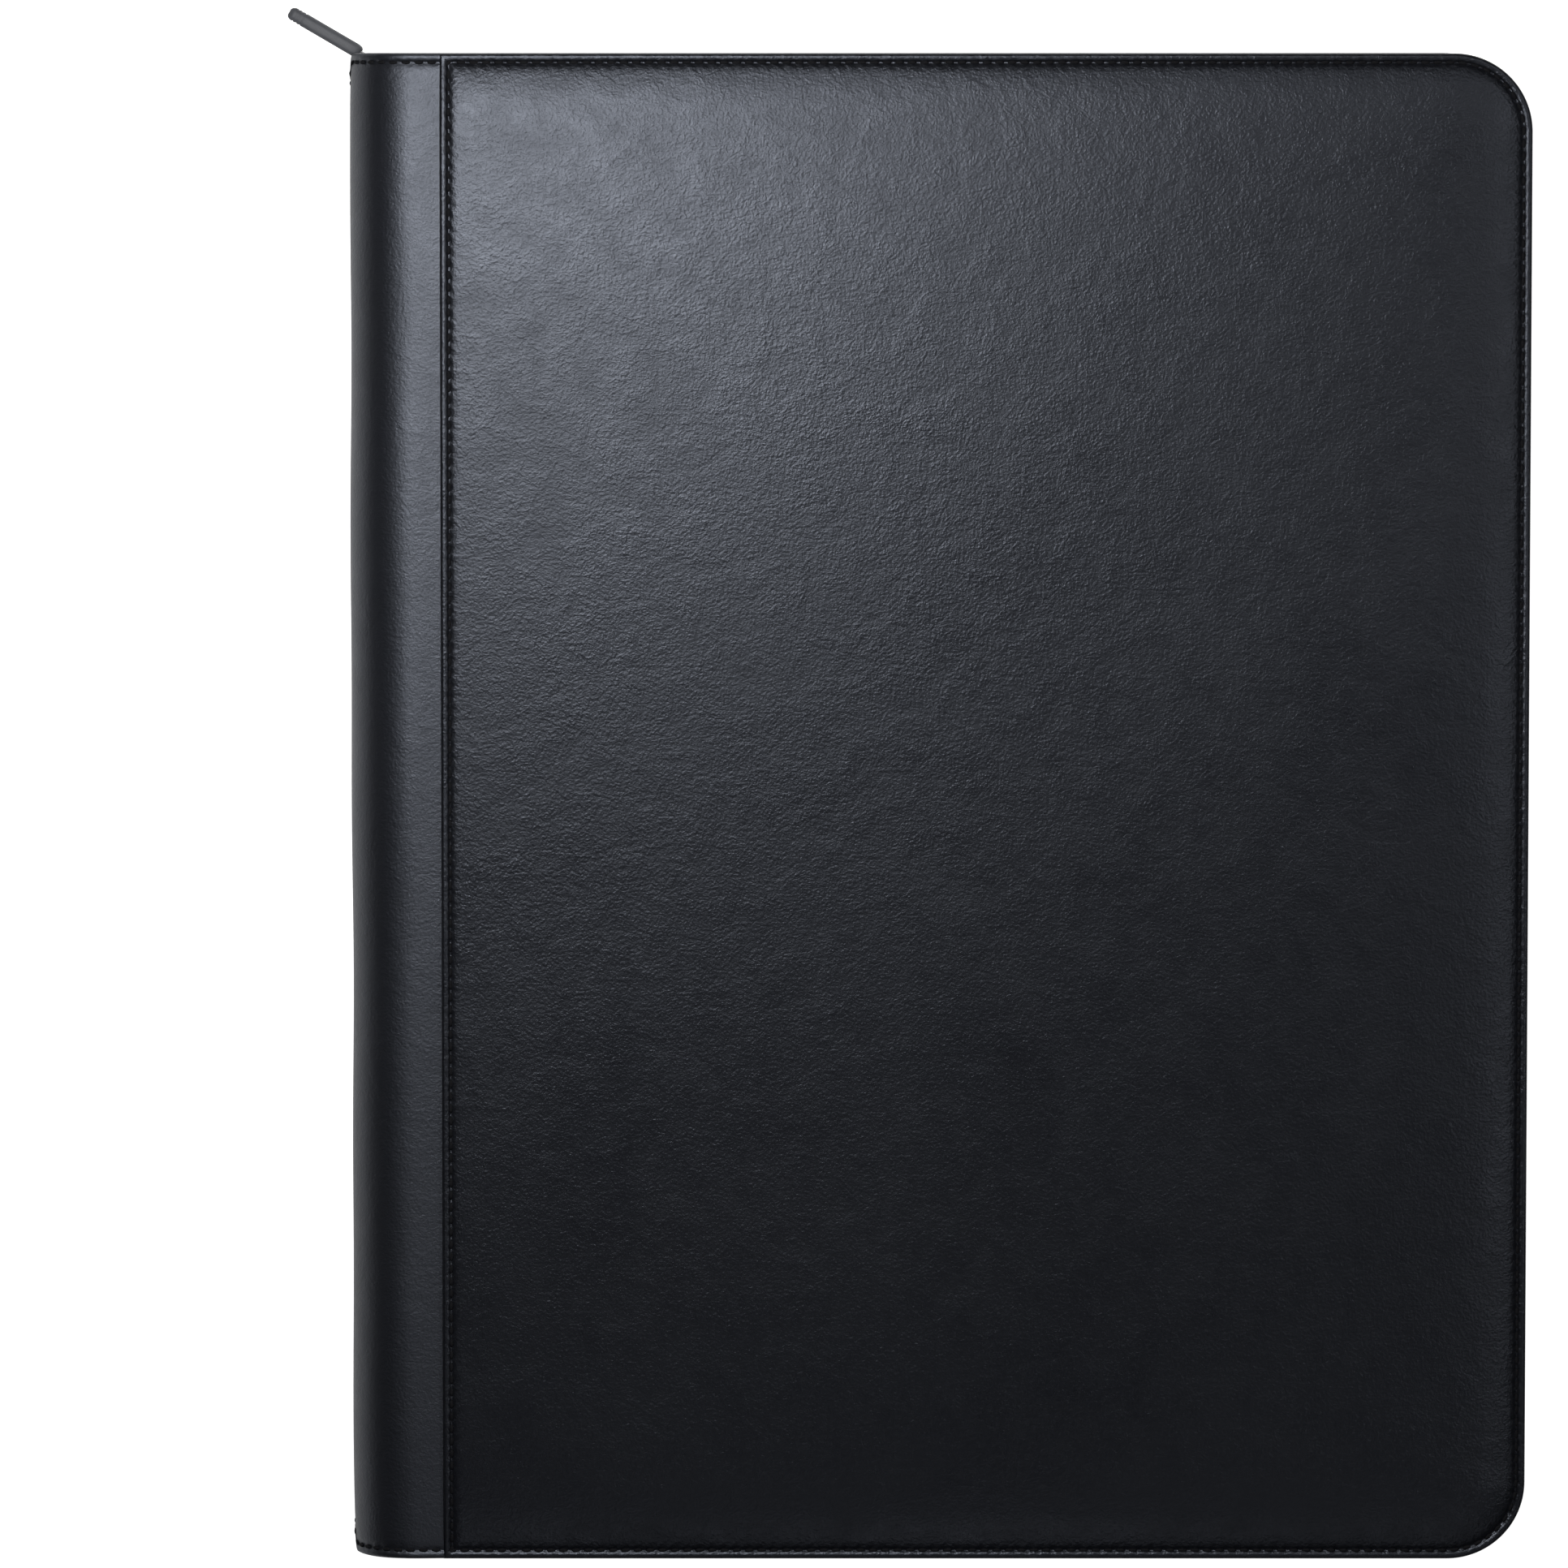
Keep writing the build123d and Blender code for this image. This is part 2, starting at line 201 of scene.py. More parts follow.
def row_tree(name, finish, kind, pitch, length, width, wire, slant=0.0):
    """Geometry Nodes: one stitch, tooth or weld dash every pitch along the piece's own edges.

    Sizes are in millimetres and the slant in radians; a tooth's width and wire are radii.
    Returns the tree, and each size by its input's identifier.
    """
    tree = bpy.data.node_groups.new(name, "GeometryNodeTree")
    sizes = {"Pitch": pitch * MM, "Length": length * MM, "Width": width * MM, "Wire": wire * MM,
             "Slant": slant}
    tree.interface.new_socket("Geometry", in_out="INPUT", socket_type="NodeSocketGeometry")
    settings_by_input = {}
    for label, size in sizes.items():
        socket = tree.interface.new_socket(label, in_out="INPUT", socket_type="NodeSocketFloat")
        settings_by_input[socket.identifier] = size
    tree.interface.new_socket("Geometry", in_out="OUTPUT", socket_type="NodeSocketGeometry")

    def add(node_type, **settings):
        node = tree.nodes.new(node_type)
        for key, value in settings.items():
            setattr(node, key, value)
        return node

    def link(source, target):
        tree.links.new(source, target)

    inside = add("NodeGroupInput")
    outside = add("NodeGroupOutput")
    curve = add("GeometryNodeMeshToCurve")
    spots = add("GeometryNodeCurveToPoints", mode="LENGTH")
    turn = add("FunctionNodeAlignEulerToVector", axis="Z" if kind == "tooth" else "X")
    placed = add("GeometryNodeInstanceOnPoints")
    real = add("GeometryNodeRealizeInstances")
    painted = add("GeometryNodeSetMaterial")
    painted.inputs["Material"].default_value = finish
    link(inside.outputs["Geometry"], curve.inputs["Mesh"])
    link(curve.outputs["Curve"], spots.inputs["Curve"])
    link(inside.outputs["Pitch"], spots.inputs["Length"])
    link(spots.outputs["Tangent"], turn.inputs["Vector"])
    link(spots.outputs["Points"], placed.inputs["Points"])
    link(turn.outputs["Rotation"], placed.inputs["Rotation"])
    if kind == "tooth":
        ring = add("GeometryNodeCurvePrimitiveCircle", mode="RADIUS")
        ring.inputs["Resolution"].default_value = 10
        link(inside.outputs["Width"], ring.inputs["Radius"])
        wire_ring = add("GeometryNodeCurvePrimitiveCircle", mode="RADIUS")
        wire_ring.inputs["Resolution"].default_value = 5
        link(inside.outputs["Wire"], wire_ring.inputs["Radius"])
        lean = add("GeometryNodeTransform")
        lean_by = add("ShaderNodeCombineXYZ")
        link(inside.outputs["Slant"], lean_by.inputs["Y"])
        link(lean_by.outputs["Vector"], lean.inputs["Rotation"])
        turn_of_wire = add("GeometryNodeCurveToMesh")
        link(ring.outputs["Curve"], turn_of_wire.inputs["Curve"])
        link(wire_ring.outputs["Curve"], turn_of_wire.inputs["Profile Curve"])
        link(turn_of_wire.outputs["Mesh"], lean.inputs["Geometry"])
        link(lean.outputs["Geometry"], placed.inputs["Instance"])
    else:
        bead = add("GeometryNodeMeshUVSphere")
        bead.inputs["Segments"].default_value = 8
        bead.inputs["Rings"].default_value = 6
        bead.inputs["Radius"].default_value = 0.5
        size = add("ShaderNodeCombineXYZ")
        link(inside.outputs["Length"], size.inputs["X"])
        link(inside.outputs["Width"], size.inputs["Y"])
        link(inside.outputs["Wire"], size.inputs["Z"])
        link(bead.outputs["Mesh"], placed.inputs["Instance"])
        link(size.outputs["Vector"], placed.inputs["Scale"])
    link(placed.outputs["Instances"], real.inputs["Geometry"])
    link(real.outputs["Geometry"], painted.inputs["Geometry"])
    link(painted.outputs["Geometry"], outside.inputs["Geometry"])
    return tree, settings_by_input


def run_along(name, lines, row):
    """A plain mesh of a row's repeats along open lines of points in millimetres."""
    tree, settings_by_input = row
    points, edges = [], []
    for line in lines:
        base = len(points)
        points += [Vector(p) * MM for p in line]
        edges += [(base + i, base + i + 1) for i in range(len(line) - 1)]
    mesh = bpy.data.meshes.new(name)
    mesh.from_pydata(points, edges, [])
    guide = bpy.data.objects.new(name + ".guide", mesh)
    bpy.context.collection.objects.link(guide)
    modifier = guide.modifiers.new("row", "NODES")
    modifier.node_group = tree
    for identifier, size in settings_by_input.items():
        modifier[identifier] = size
    bpy.context.view_layer.update()
    seen = guide.evaluated_get(bpy.context.evaluated_depsgraph_get())
    made = bpy.data.meshes.new_from_object(seen)
    guide.modifiers.remove(modifier)
    bpy.data.objects.remove(guide)
    made.polygons.foreach_set("use_smooth", [True] * len(made.polygons))
    piece = bpy.data.objects.new(name, made)
    bpy.context.collection.objects.link(piece)
    return piece


# ---- finishes ----


class Num:
    """A number that varies over a surface; arithmetic on it adds Math nodes."""

    def __init__(self, finish, socket):
        self.finish = finish
        self.socket = socket

    def math(self, operation, *others):
        node = self.finish.node("ShaderNodeMath", {"operation": operation})
        for slot, value in zip(node.inputs, (self, *others)):
            self.finish.feed(slot, value)
        return Num(self.finish, node.outputs[0])

    def __add__(self, other):
        return self.math("ADD", other)

    __radd__ = __add__

    def __mul__(self, other):
        return self.math("MULTIPLY", other)

    __rmul__ = __mul__

    def __sub__(self, other):
        return self.math("SUBTRACT", other)

    def __rsub__(self, other):
        return (self * -1) + other

    def __truediv__(self, other):
        return self.math("DIVIDE", other)

    def above(self, other):
        return self.math("GREATER_THAN", other)

    def below(self, other):
        return self.math("LESS_THAN", other)

    def size(self):
        return self.math("ABSOLUTE")

    def power(self, other):
        return self.math("POWER", other)

    def wave(self):
        return self.math("SINE")

    def rest(self, other):
        return self.math("MODULO", other)

    def most(self, other):
        return self.math("MAXIMUM", other)


class Finish:
    """A material with one Principled shader and the nodes that feed it."""

    def __init__(self, name, colour, rough, **fixed):
        self.material = bpy.data.materials.new(name)
        self.material.use_nodes = True
        self.tree = self.material.node_tree
        self.shader = self.tree.nodes["Principled BSDF"]
        self.shader.inputs["Base Color"].default_value = (*colour, 1)
        self.shader.inputs["Roughness"].default_value = rough
        for label, value in fixed.items():
            self.shader.inputs[label.replace("_", " ")].default_value = value

    def feed(self, slot, value):
        if isinstance(value, Num):
            self.tree.links.new(value.socket, slot)
        elif isinstance(value, bpy.types.NodeSocket):
            self.tree.links.new(value, slot)
        else:
            slot.default_value = value

    def node(self, kind, settings=None, sockets=None):
        """A node of the given type, its settings first, then its sockets' values or links."""
        node = self.tree.nodes.new(kind)
        for key, value in (settings or {}).items():
            if key == "stops":
                while len(node.color_ramp.elements) < len(value):
                    node.color_ramp.elements.new(0.5)
                for stop, (place, colour) in zip(node.color_ramp.elements, value):
                    stop.position = place
                    stop.color = (*colour, 1)
            else:
                setattr(node, key, value)
        for label, value in (sockets or {}).items():
            self.feed(node.inputs[label], value)
        return node

    def place(self, stretch=(1, 1, 1)):
        """Where a point is on the object, stretched along each axis."""
        coords = self.node("ShaderNodeTexCoord").outputs["Object"]
        return self.node("ShaderNodeMapping", None, {"Vector": coords, "Scale": stretch}).outputs[0]

    def parts_of(self, vector):
        split = self.node("ShaderNodeSeparateXYZ", None, {"Vector": vector})
        return [Num(self, socket) for socket in split.outputs]

    def noise(self, vector, scale, detail=3.0, rough=0.5, distortion=0.0):
        values = {"Vector": vector, "Scale": scale, "Detail": detail, "Roughness": rough}
        values["Distortion"] = distortion
        return Num(self, self.node("ShaderNodeTexNoise", None, values).outputs["Fac"])

    def cells(self, vector, scale):
        values = {"Vector": vector, "Scale": scale}
        node = self.node("ShaderNodeTexVoronoi", {"feature": "F1"}, values)
        return Num(self, node.outputs["Distance"])

    def ramp(self, factor, stops):
        return self.node("ShaderNodeValToRGB", {"stops": stops}, {"Fac": factor}).outputs["Color"]

    def mix(self, factor, first, second):
        """Colour between two colours."""
        node = self.node("ShaderNodeMix", {"data_type": "RGBA"}, {0: factor})
        for slot, colour in ((node.inputs[6], first), (node.inputs[7], second)):
            self.feed(slot, (*colour, 1) if isinstance(colour, tuple) else colour)
        return node.outputs[2]

    def scale_to(self, value, low, high, new_low, new_high):
        values = {0: value, 1: low, 2: high, 3: new_low, 4: new_high}
        return Num(self, self.node("ShaderNodeMapRange", None, values).outputs[0])

    def colour(self, socket):
        self.feed(self.shader.inputs["Base Color"], socket)

    def rough(self, value):
        self.feed(self.shader.inputs["Roughness"], value)

    def relief(self, height, depth_mm):
        values = {"Height": height, "Distance": depth_mm * MM, "Strength": 1.0}
        bump = self.node("ShaderNodeBump", None, values)
        self.feed(self.shader.inputs["Normal"], bump.outputs["Normal"])


def leather(name, deep, pale, rough_low=0.23, rough_high=0.44, grain_mm=0.07, shine=0.5):
    """Coated leather: cloudy mottling, hair creases, and a fine pebbled grain."""
    look = Finish(name, deep, 0.5, Specular_IOR_Level=shine, Specular_Tint=(0.8, 0.86, 1.0, 1.0))
    where = look.place()
    cloud = look.noise(where, 16, 6, 0.66, 0.5)
    blotch = look.noise(where, 95, 5, 0.72, 0.4)
    hairs = look.noise(look.place((1, 1.6, 1)), 420, 4, 0.7, 1.2)
    speckle = look.noise(where, 1150, 2, 0.6)
    pebble = look.cells(where, 1500)
    mottle = look.scale_to(cloud * 0.5 + blotch * 0.5, 0.36, 0.66, 0, 1)
    marked = mottle * 0.7 + look.scale_to(hairs * 0.5 + speckle * 0.5, 0.4, 0.66, 0, 0.45)
    look.colour(look.mix(marked, deep, pale))
    look.rough(look.scale_to(mottle * 0.75 + speckle * 0.5, 0, 1.25, rough_high, rough_low))
    look.relief(pebble * 0.3 + speckle * 1.5 + hairs * 0.8 + blotch * 3.4 + cloud * 1.6, grain_mm)
    return look.material


def cloth(name, dark, light, ribs_mm, across, rib_depth=0.12):
    """Woven cloth with ribs a given distance apart, along x plus y or along z."""
    look = Finish(name, dark, 0.82, Sheen_Weight=0.25, Sheen_Roughness=0.5, Specular_IOR_Level=0.25)
    x, y, z = look.parts_of(look.place())
    turn = 2 * math.pi / (ribs_mm * MM)
    run = (x + y) * turn
    rise = z * turn
    if across == "twill":
        weave = (run + rise * 1.6).wave() * 0.6 + (run * 2.0 - rise * 0.6).wave() * 0.4
    elif across == "ribs":
        weave = run.wave() * 0.7 + (rise * 1.5).wave() * 0.3
    else:
        weave = (x * turn).wave() * (y * turn).wave()
    fuzz = look.noise(look.place(), 900, 3, 0.6)
    worn = look.noise(look.place(), 40, 4, 0.6)
    tone = look.scale_to(weave * 0.5 + fuzz + worn * 0.5, 0.2, 1.4, 0, 1)
    look.colour(look.mix(tone, dark, light))
    look.rough(look.scale_to(worn, 0.3, 0.7, 0.75, 0.9))
    look.relief(weave + fuzz * 0.6, rib_depth)
    return look.material


def margin_film():
    """Black page film with a fine diagonal emboss and a soft satin shine."""
    look = Finish("page film with diagonal emboss", (0.02, 0.021, 0.024), 0.42)
    x, y, z = look.parts_of(look.place())
    turn = 2 * math.pi / (1.1 * MM)
    twill = ((x + y + z) * turn).wave() * 0.6 + ((x - y * 2.1) * turn).wave() * 0.4
    cloud = look.noise(look.place(), 22, 4, 0.6)
    look.colour(look.mix(cloud, (0.014, 0.015, 0.018), (0.045, 0.047, 0.053)))
    look.rough(look.scale_to(cloud, 0.3, 0.7, 0.34, 0.52))
    look.relief(twill, 0.07)
    return look.material


def leaf_film():
    """Black mesh backing; at the leaf's edges the pale ends of films and cards show."""
    look = Finish("pocket leaf, pale at its edges", (0.03, 0.031, 0.035), 0.38)
    x, y, _ = look.parts_of(look.place())
    turn = 2 * math.pi / (0.9 * MM)
    mesh = (x * turn).wave() * (y * turn).wave()
    facing = look.node("ShaderNodeNewGeometry").outputs["Normal"]
    up = look.parts_of(facing)[2].size()
    streak = look.noise(look.place((30, 30, 4000)), 1.0, 4, 0.8)
    breaks = look.noise(look.place((60, 60, 900)), 1.0, 3, 0.7)
    pale = look.ramp(streak * 0.6 + breaks * 0.4, (
        (0.34, (0.03, 0.03, 0.035)), (0.48, (0.3, 0.31, 0.34)), (0.62, (0.72, 0.74, 0.78))))
    flat = look.mix(look.noise(look.place(), 30, 4, 0.6), (0.02, 0.021, 0.025), (0.05, 0.052, 0.06))
    look.colour(look.mix(up.above(0.6), pale, flat))
    look.relief(mesh, 0.05)
    return look.material


def clear_film():
    """Clear glossy pocket film with slow ripples."""
    look = Finish("clear pocket film", (0.5, 0.52, 0.56), 0.1, Alpha=0.07, Specular_IOR_Level=0.6)
    ripple = look.noise(look.place(), 18, 3, 0.5, 0.8)
    fine = look.noise(look.place(), 120, 2, 0.5)
    look.rough(look.scale_to(fine, 0.3, 0.7, 0.06, 0.16))
    look.relief(ripple * 3.0 + fine * 0.1, 0.4)
    return look.material


def card_print():
    """Card face: a pale frame, a picture window and ruled lines, in each card's own colours."""
    look = Finish("printed card", (0.7, 0.7, 0.7), 0.45, Specular_IOR_Level=0.3)
    ground = look.node("ShaderNodeAttribute", {"attribute_name": "ground"}).outputs["Color"]
    accent = look.node("ShaderNodeAttribute", {"attribute_name": "accent"}).outputs["Color"]
    rim = look.node("ShaderNodeAttribute", {"attribute_name": "rim"}).outputs["Color"]
    place = look.node("ShaderNodeUVMap", {"uv_map": "face"}).outputs["UV"]
    seed = look.node("ShaderNodeAttribute", {"attribute_name": "seed"}).outputs["Vector"]
    across, up, _ = look.parts_of(place)
    pick, sun_x, sun_y = look.parts_of(seed)
    style = look.node("ShaderNodeAttribute", {"attribute_name": "seed"}).outputs["Alpha"]
    style = Num(look, style)
    full = style.above(0.4) * style.below(0.6)
    disc = style.above(0.9)
    offset = look.node("ShaderNodeVectorMath", {"operation": "ADD"}, {0: place, 1: seed}).outputs[0]
    edge = (across - 0.5).size().most((up - 0.5).size())
    clouds = look.noise(offset, 5, 5, 0.65, 1.2)
    hills = look.noise(offset, 3.2, 3, 0.55)
    base = look.mix(look.scale_to(clouds, 0.3, 0.7, 0, 0.3), ground, (0.86, 0.88, 0.9))
    rays = ((across - sun_x).math("ARCTAN2", up - 0.3) * 26 + clouds * 5).wave()
    base = look.mix(full * rays.above(0.2) * 0.35, base, (0.95, 0.93, 0.86))
    skyline = hills * 0.3 + pick * 0.08 + 0.5 - full * 0.25
    sky = look.mix(look.scale_to(up, 0.45, 0.9, 0, 1), (0.72, 0.76, 0.8), accent)
    sky = look.mix(look.scale_to(clouds, 0.5, 0.7, 0, 0.6), sky, (0.9, 0.92, 0.94))
    land = look.mix(look.scale_to(clouds, 0.35, 0.65, 0, 1), ground, (0.04, 0.07, 0.05))
    scenery = look.mix(up.above(skyline), land, sky)
    round_reach = ((across - sun_x).power(2) + ((up - sun_y) * 1.4).power(2)).power(0.5)
    gem_reach = (across - sun_x).size() * 1.25 + ((up - sun_y) * 1.1).size()
    gem = (pick * 4).rest(1.0).above(0.4)
    reach = gem_reach * gem + round_reach * (1 - gem) - disc * 0.1
    glow = look.mix(look.scale_to(clouds, 0.3, 0.7, 0, 1), accent, (0.95, 0.85, 0.55))
    scenery = look.mix(look.scale_to(reach, 0.14, 0.3, 0.8, 0), scenery, (0.95, 0.95, 0.9))
    scenery = look.mix(reach.below(0.13), scenery, glow)
    scenery = look.mix((reach - 0.08).size().below(0.01), scenery, (0.1, 0.09, 0.12))
    window = (across - 0.5).size().below(0.4) * (up - 0.71).size().below(0.2)
    window = window.most(full)
    window_rim = (across - 0.5).size().below(0.415) * (up - 0.71).size().below(0.21)
    lines = (up * 34).rest(1.0).below(0.34) * (across - 0.5).size().below(0.38)
    lines = lines * (up - 0.3).size().below(0.14)
    length = look.noise(look.node("ShaderNodeVectorMath", {"operation": "MULTIPLY"}, {
        0: offset, 1: (3.0, 34.0, 1.0)}).outputs[0], 1.0, 2, 0.5)
    lines = lines * length.above(0.47)
    foot = (up - 0.085).size().below(0.028) * (across - 0.5).size().below(0.42)
    title = (up - 0.945).size().below(0.014) * (across - 0.36).size().below(0.16)
    face = look.mix(window_rim, base, (0.92, 0.93, 0.94))
    face = look.mix(window, face, scenery)
    face = look.mix(lines * 0.75, face, (0.05, 0.05, 0.07))
    face = look.mix(foot * 0.7, face, (0.93, 0.93, 0.93))
    face = look.mix(title * 0.35, face, (0.2, 0.2, 0.22))
    framed = (across - 0.5).size().above(0.458)
    framed = framed.most((up - 0.5).size().above(0.472))
    look.colour(look.mix(framed, face, rim))
    look.rough(look.scale_to(clouds, 0.3, 0.7, 0.4, 0.55))
    look.relief(edge, 0.05)
    return look.material


def plain_finish(name, dark, light, rough_low, rough_high, scale, depth, **fixed):
    """Moulded, cast or enamelled finish with slight unevenness."""
    look = Finish(name, dark, rough_low, **fixed)
    cloud = look.noise(look.place(), scale, 4, 0.6)
    fine = look.noise(look.place(), scale * 9, 3, 0.6)
    look.colour(look.mix(cloud, dark, light))
    look.rough(look.scale_to(cloud * 0.6 + fine * 0.4, 0.3, 0.7, rough_low, rough_high))
    look.relief(fine + cloud, depth)
    return look.material


cover_hide = leather("cover leather", (0.0016, 0.0017, 0.0024), (0.0075, 0.008, 0.0105))
spine_hide = leather("spine leather", (0.002, 0.0022, 0.003), (0.0085, 0.009, 0.012), 0.38, 0.5, 0.06, 0.8)
tab_hide = leather("end tab leather", (0.01, 0.0105, 0.013), (0.022, 0.023, 0.028), 0.4, 0.55, 0.03)
sewing = plain_finish("sunk sewing thread", (0.003, 0.003, 0.004), (0.012, 0.012, 0.014),
                      0.7, 0.85, 900, 0.05, Specular_IOR_Level=0.12)
canvas = cloth("ribbed gusset canvas", (0.006, 0.0062, 0.007), (0.026, 0.027, 0.03), 1.0, "ribs")
twill = cloth("zip tape twill", (0.005, 0.0052, 0.006), (0.022, 0.023, 0.026), 0.8, "twill", 0.08)
lining_cloth = cloth("smooth lining", (0.008, 0.0082, 0.0095), (0.02, 0.021, 0.024), 0.7, "plain", 0.04)
nylon = plain_finish("nylon coil", (0.02, 0.021, 0.024), (0.075, 0.078, 0.085), 0.22, 0.36, 400, 0.03)
enamel = plain_finish("black slider enamel", (0.006, 0.006, 0.007), (0.02, 0.02, 0.022),
                      0.2, 0.34, 300, 0.03, Coat_Weight=0.4)
link_steel = plain_finish("satin link metal", (0.42, 0.42, 0.43), (0.66, 0.66, 0.67),
                          0.25, 0.42, 500, 0.02, Metallic=1.0)
pull_rubber = plain_finish("moulded pull rubber", (0.05, 0.052, 0.06), (0.1, 0.104, 0.115),
                           0.5, 0.66, 260, 0.05)
foam_look = plain_finish("open cell foam", (0.04, 0.04, 0.045), (0.12, 0.12, 0.13), 0.85, 0.95, 700, 0.2)
board_look = plain_finish("grey board", (0.2, 0.17, 0.13), (0.36, 0.31, 0.24), 0.8, 0.92, 200, 0.05)
margin_look = margin_film()
leaf_look = leaf_film()
film_look = clear_film()
card_look = card_print()


# ---- covers ----

# The rolled edge and the sewn groove in section: distance in from the edge, depth below the face.
EDGE_ROLL = [
    (3.2, 3.95), (0.9, 3.9), (0.25, 3.5), (0.0, 2.8), (0.0, 1.8), (0.05, 0.95), (0.18, 0.4),
    (0.4, 0.12), (0.75, 0.03), (1.2, 0.0), (1.7, 0.03), (2.05, 0.17), (2.3, 0.36),
    (stitch_inset, groove_depth), (2.75, 0.4), (3.2, 0.26), (4.0, 0.13), (5.5, 0.07), (7.5, 0.03),
    (10.0, 0.01),
]
# How far the padding lifts the front cover's face above its edge, at a distance inside the edge.
CROWN = [
    (3.3, 0.07), (4.2, 0.2), (5.5, 0.42), (7.5, 0.74), (10.0, 1.08), (14.0, 1.45),
    (22.0, 1.75), (40.0, 1.95), (75.0, 2.03), (110.0, 2.06), (148.0, 2.07),
]


def to_edge(x, y):
    """Distance in from the cover's head, foot or fore edge, whichever is nearest."""
    past_x = x - (fore_x - corner_r)
    past_y = abs(y) - (head_y - corner_r)
    if past_x > 0 and past_y > 0:
        return corner_r - math.hypot(past_x, past_y)
    return min(fore_x - x, head_y - abs(y))


def crown(inset):
    """Rise of the padded face above its sewn edge."""
    low = (2.8, 0.0)
    for high in CROWN:
        if inset <= high[0]:
            share = max(0.0, (inset - low[0]) / (high[0] - low[0]))
            return low[1] + (high[1] - low[1]) * share
        low = high
    return low[1]


def groove_pull(along, inset):
    """How much a stitch draws the leather down, at a place along and beside the sewn line."""
    near = math.exp(-((inset - stitch_inset) / 0.9) ** 2)
    return near * 0.34 * (0.5 + 0.5 * math.cos(2 * math.pi * along / stitch_pitch))


def panel_outline(inset):
    """Points round a cover panel, inset from its edge; every inset has as many points."""
    radius = max(corner_r - inset, 1.5)
    left = seam_x - lap + inset
    right = fore_x - inset - radius
    top = head_y - inset
    straight = round((fore_x - seam_x + lap - corner_r) / skin_step)
    arc = round(corner_r * math.pi / 2 / skin_step)
    side = round(2 * (head_y - corner_r) / skin_step)
    seam = round(2 * head_y / skin_step)
    points = []
    for i in range(straight):
        points.append((left + (right - left) * i / straight, -top))
    for i in range(arc):
        a = -math.pi / 2 + math.pi / 2 * i / arc
        points.append((right + radius * math.cos(a), -top + radius + radius * math.sin(a)))
    for i in range(side):
        points.append((right + radius, (-top + radius) + 2 * (top - radius) * i / side))
    for i in range(arc):
        a = math.pi / 2 * i / arc
        points.append((right + radius * math.cos(a), top - radius + radius * math.sin(a)))
    for i in range(straight):
        points.append((right + (left - right) * i / straight, top))
    for i in range(seam):
        points.append((left, top - 2 * top * i / seam))
    return points


def cover_panel(side):
    """Padded cover leather with its rolled, sewn edge; the back one lies flat on the table."""
    proud = 1.0 if side == "front" else 0.0
    insets = EDGE_ROLL + [(inset, 0.0) for inset, _ in CROWN if inset > 10.0]
    loops = []
    for inset, depth in insets:
        loop = []
        for i, (x, y) in enumerate(panel_outline(inset)):
            soft = 0.05 * math.sin(x * 0.045 + y * 0.021) + 0.05 * math.sin(y * 0.034 - x * 0.017)
            sunk = depth - crown(to_edge(x, y)) * proud
            if inset > 1.2:
                sunk += groove_pull(i * skin_step, inset) + soft * min(1.0, inset / 12)
            loop.append(flip((x, y, sunk if side == "front" else max(sunk, 0.0)), side))
        loops.append(loop)
    piece = loft(f"{side}_cover_leather", loops, cover_hide)
    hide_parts(f"{side}_panel_leather")
    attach(piece, f"{side}_cover")
    proud_of = crown if side == "front" else (lambda inset: 0.0)
    line = []
    for x, y in panel_outline(stitch_inset):
        line.append(flip((x, y, groove_depth - proud_of(to_edge(x, y))), side))
    stitches = run_along(f"{side}_cover_stitches", [line + line[:1]], stitch_row)
    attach(stitches, f"{side}_cover")


flat_l = seam_x - curl_x
turn_l = spine_r * math.pi / 2
straight_l = thickness - 2 * spine_r
strip_half = flat_l + turn_l + straight_l / 2
seam_step = 0.45


def strip_place(t, depth):
    """(x, z) on the spine strip, t along it from the back seam to half-way up, depth inside."""
    if t < flat_l:
        return seam_x - t, depth + seam_step * smooth_step(1 - t / flat_l)
    if t < flat_l + turn_l:
        a = math.radians(270) - (t - flat_l) / spine_r
        reach = spine_r - depth
        return curl_x + reach * math.cos(a), spine_r + reach * math.sin(a)
    return spine_x + depth, spine_r + (t - flat_l - turn_l)


def thin(t, depth):
    """Depth inside the strip, less round the soft turn so that the open cover folds flat."""
    share = (t - flat_l + 8) / (turn_l + 12)
    if depth < 0.5 or not 0 < share < 1:
        return depth
    return max(0.5, depth * (1 - 0.55 * math.sin(math.pi * share) ** 2))


def strip_end(t):
    """Where the strip ends towards head or foot, lower in the notch beside the zip."""
    rise = strip_place(t, 0)[1]
    return head_y - notch_drop * smooth_step((rise - (mid_z - notch_half - 4)) / 5)


def wavy(t, y):
    """Slow unevenness of the spine leather."""
    free = smooth_step((t - 3) / 12)
    return free * (0.16 * math.sin(y * 0.031) + 0.12 * math.sin(y * 0.073 + t * 0.05) - 0.1)


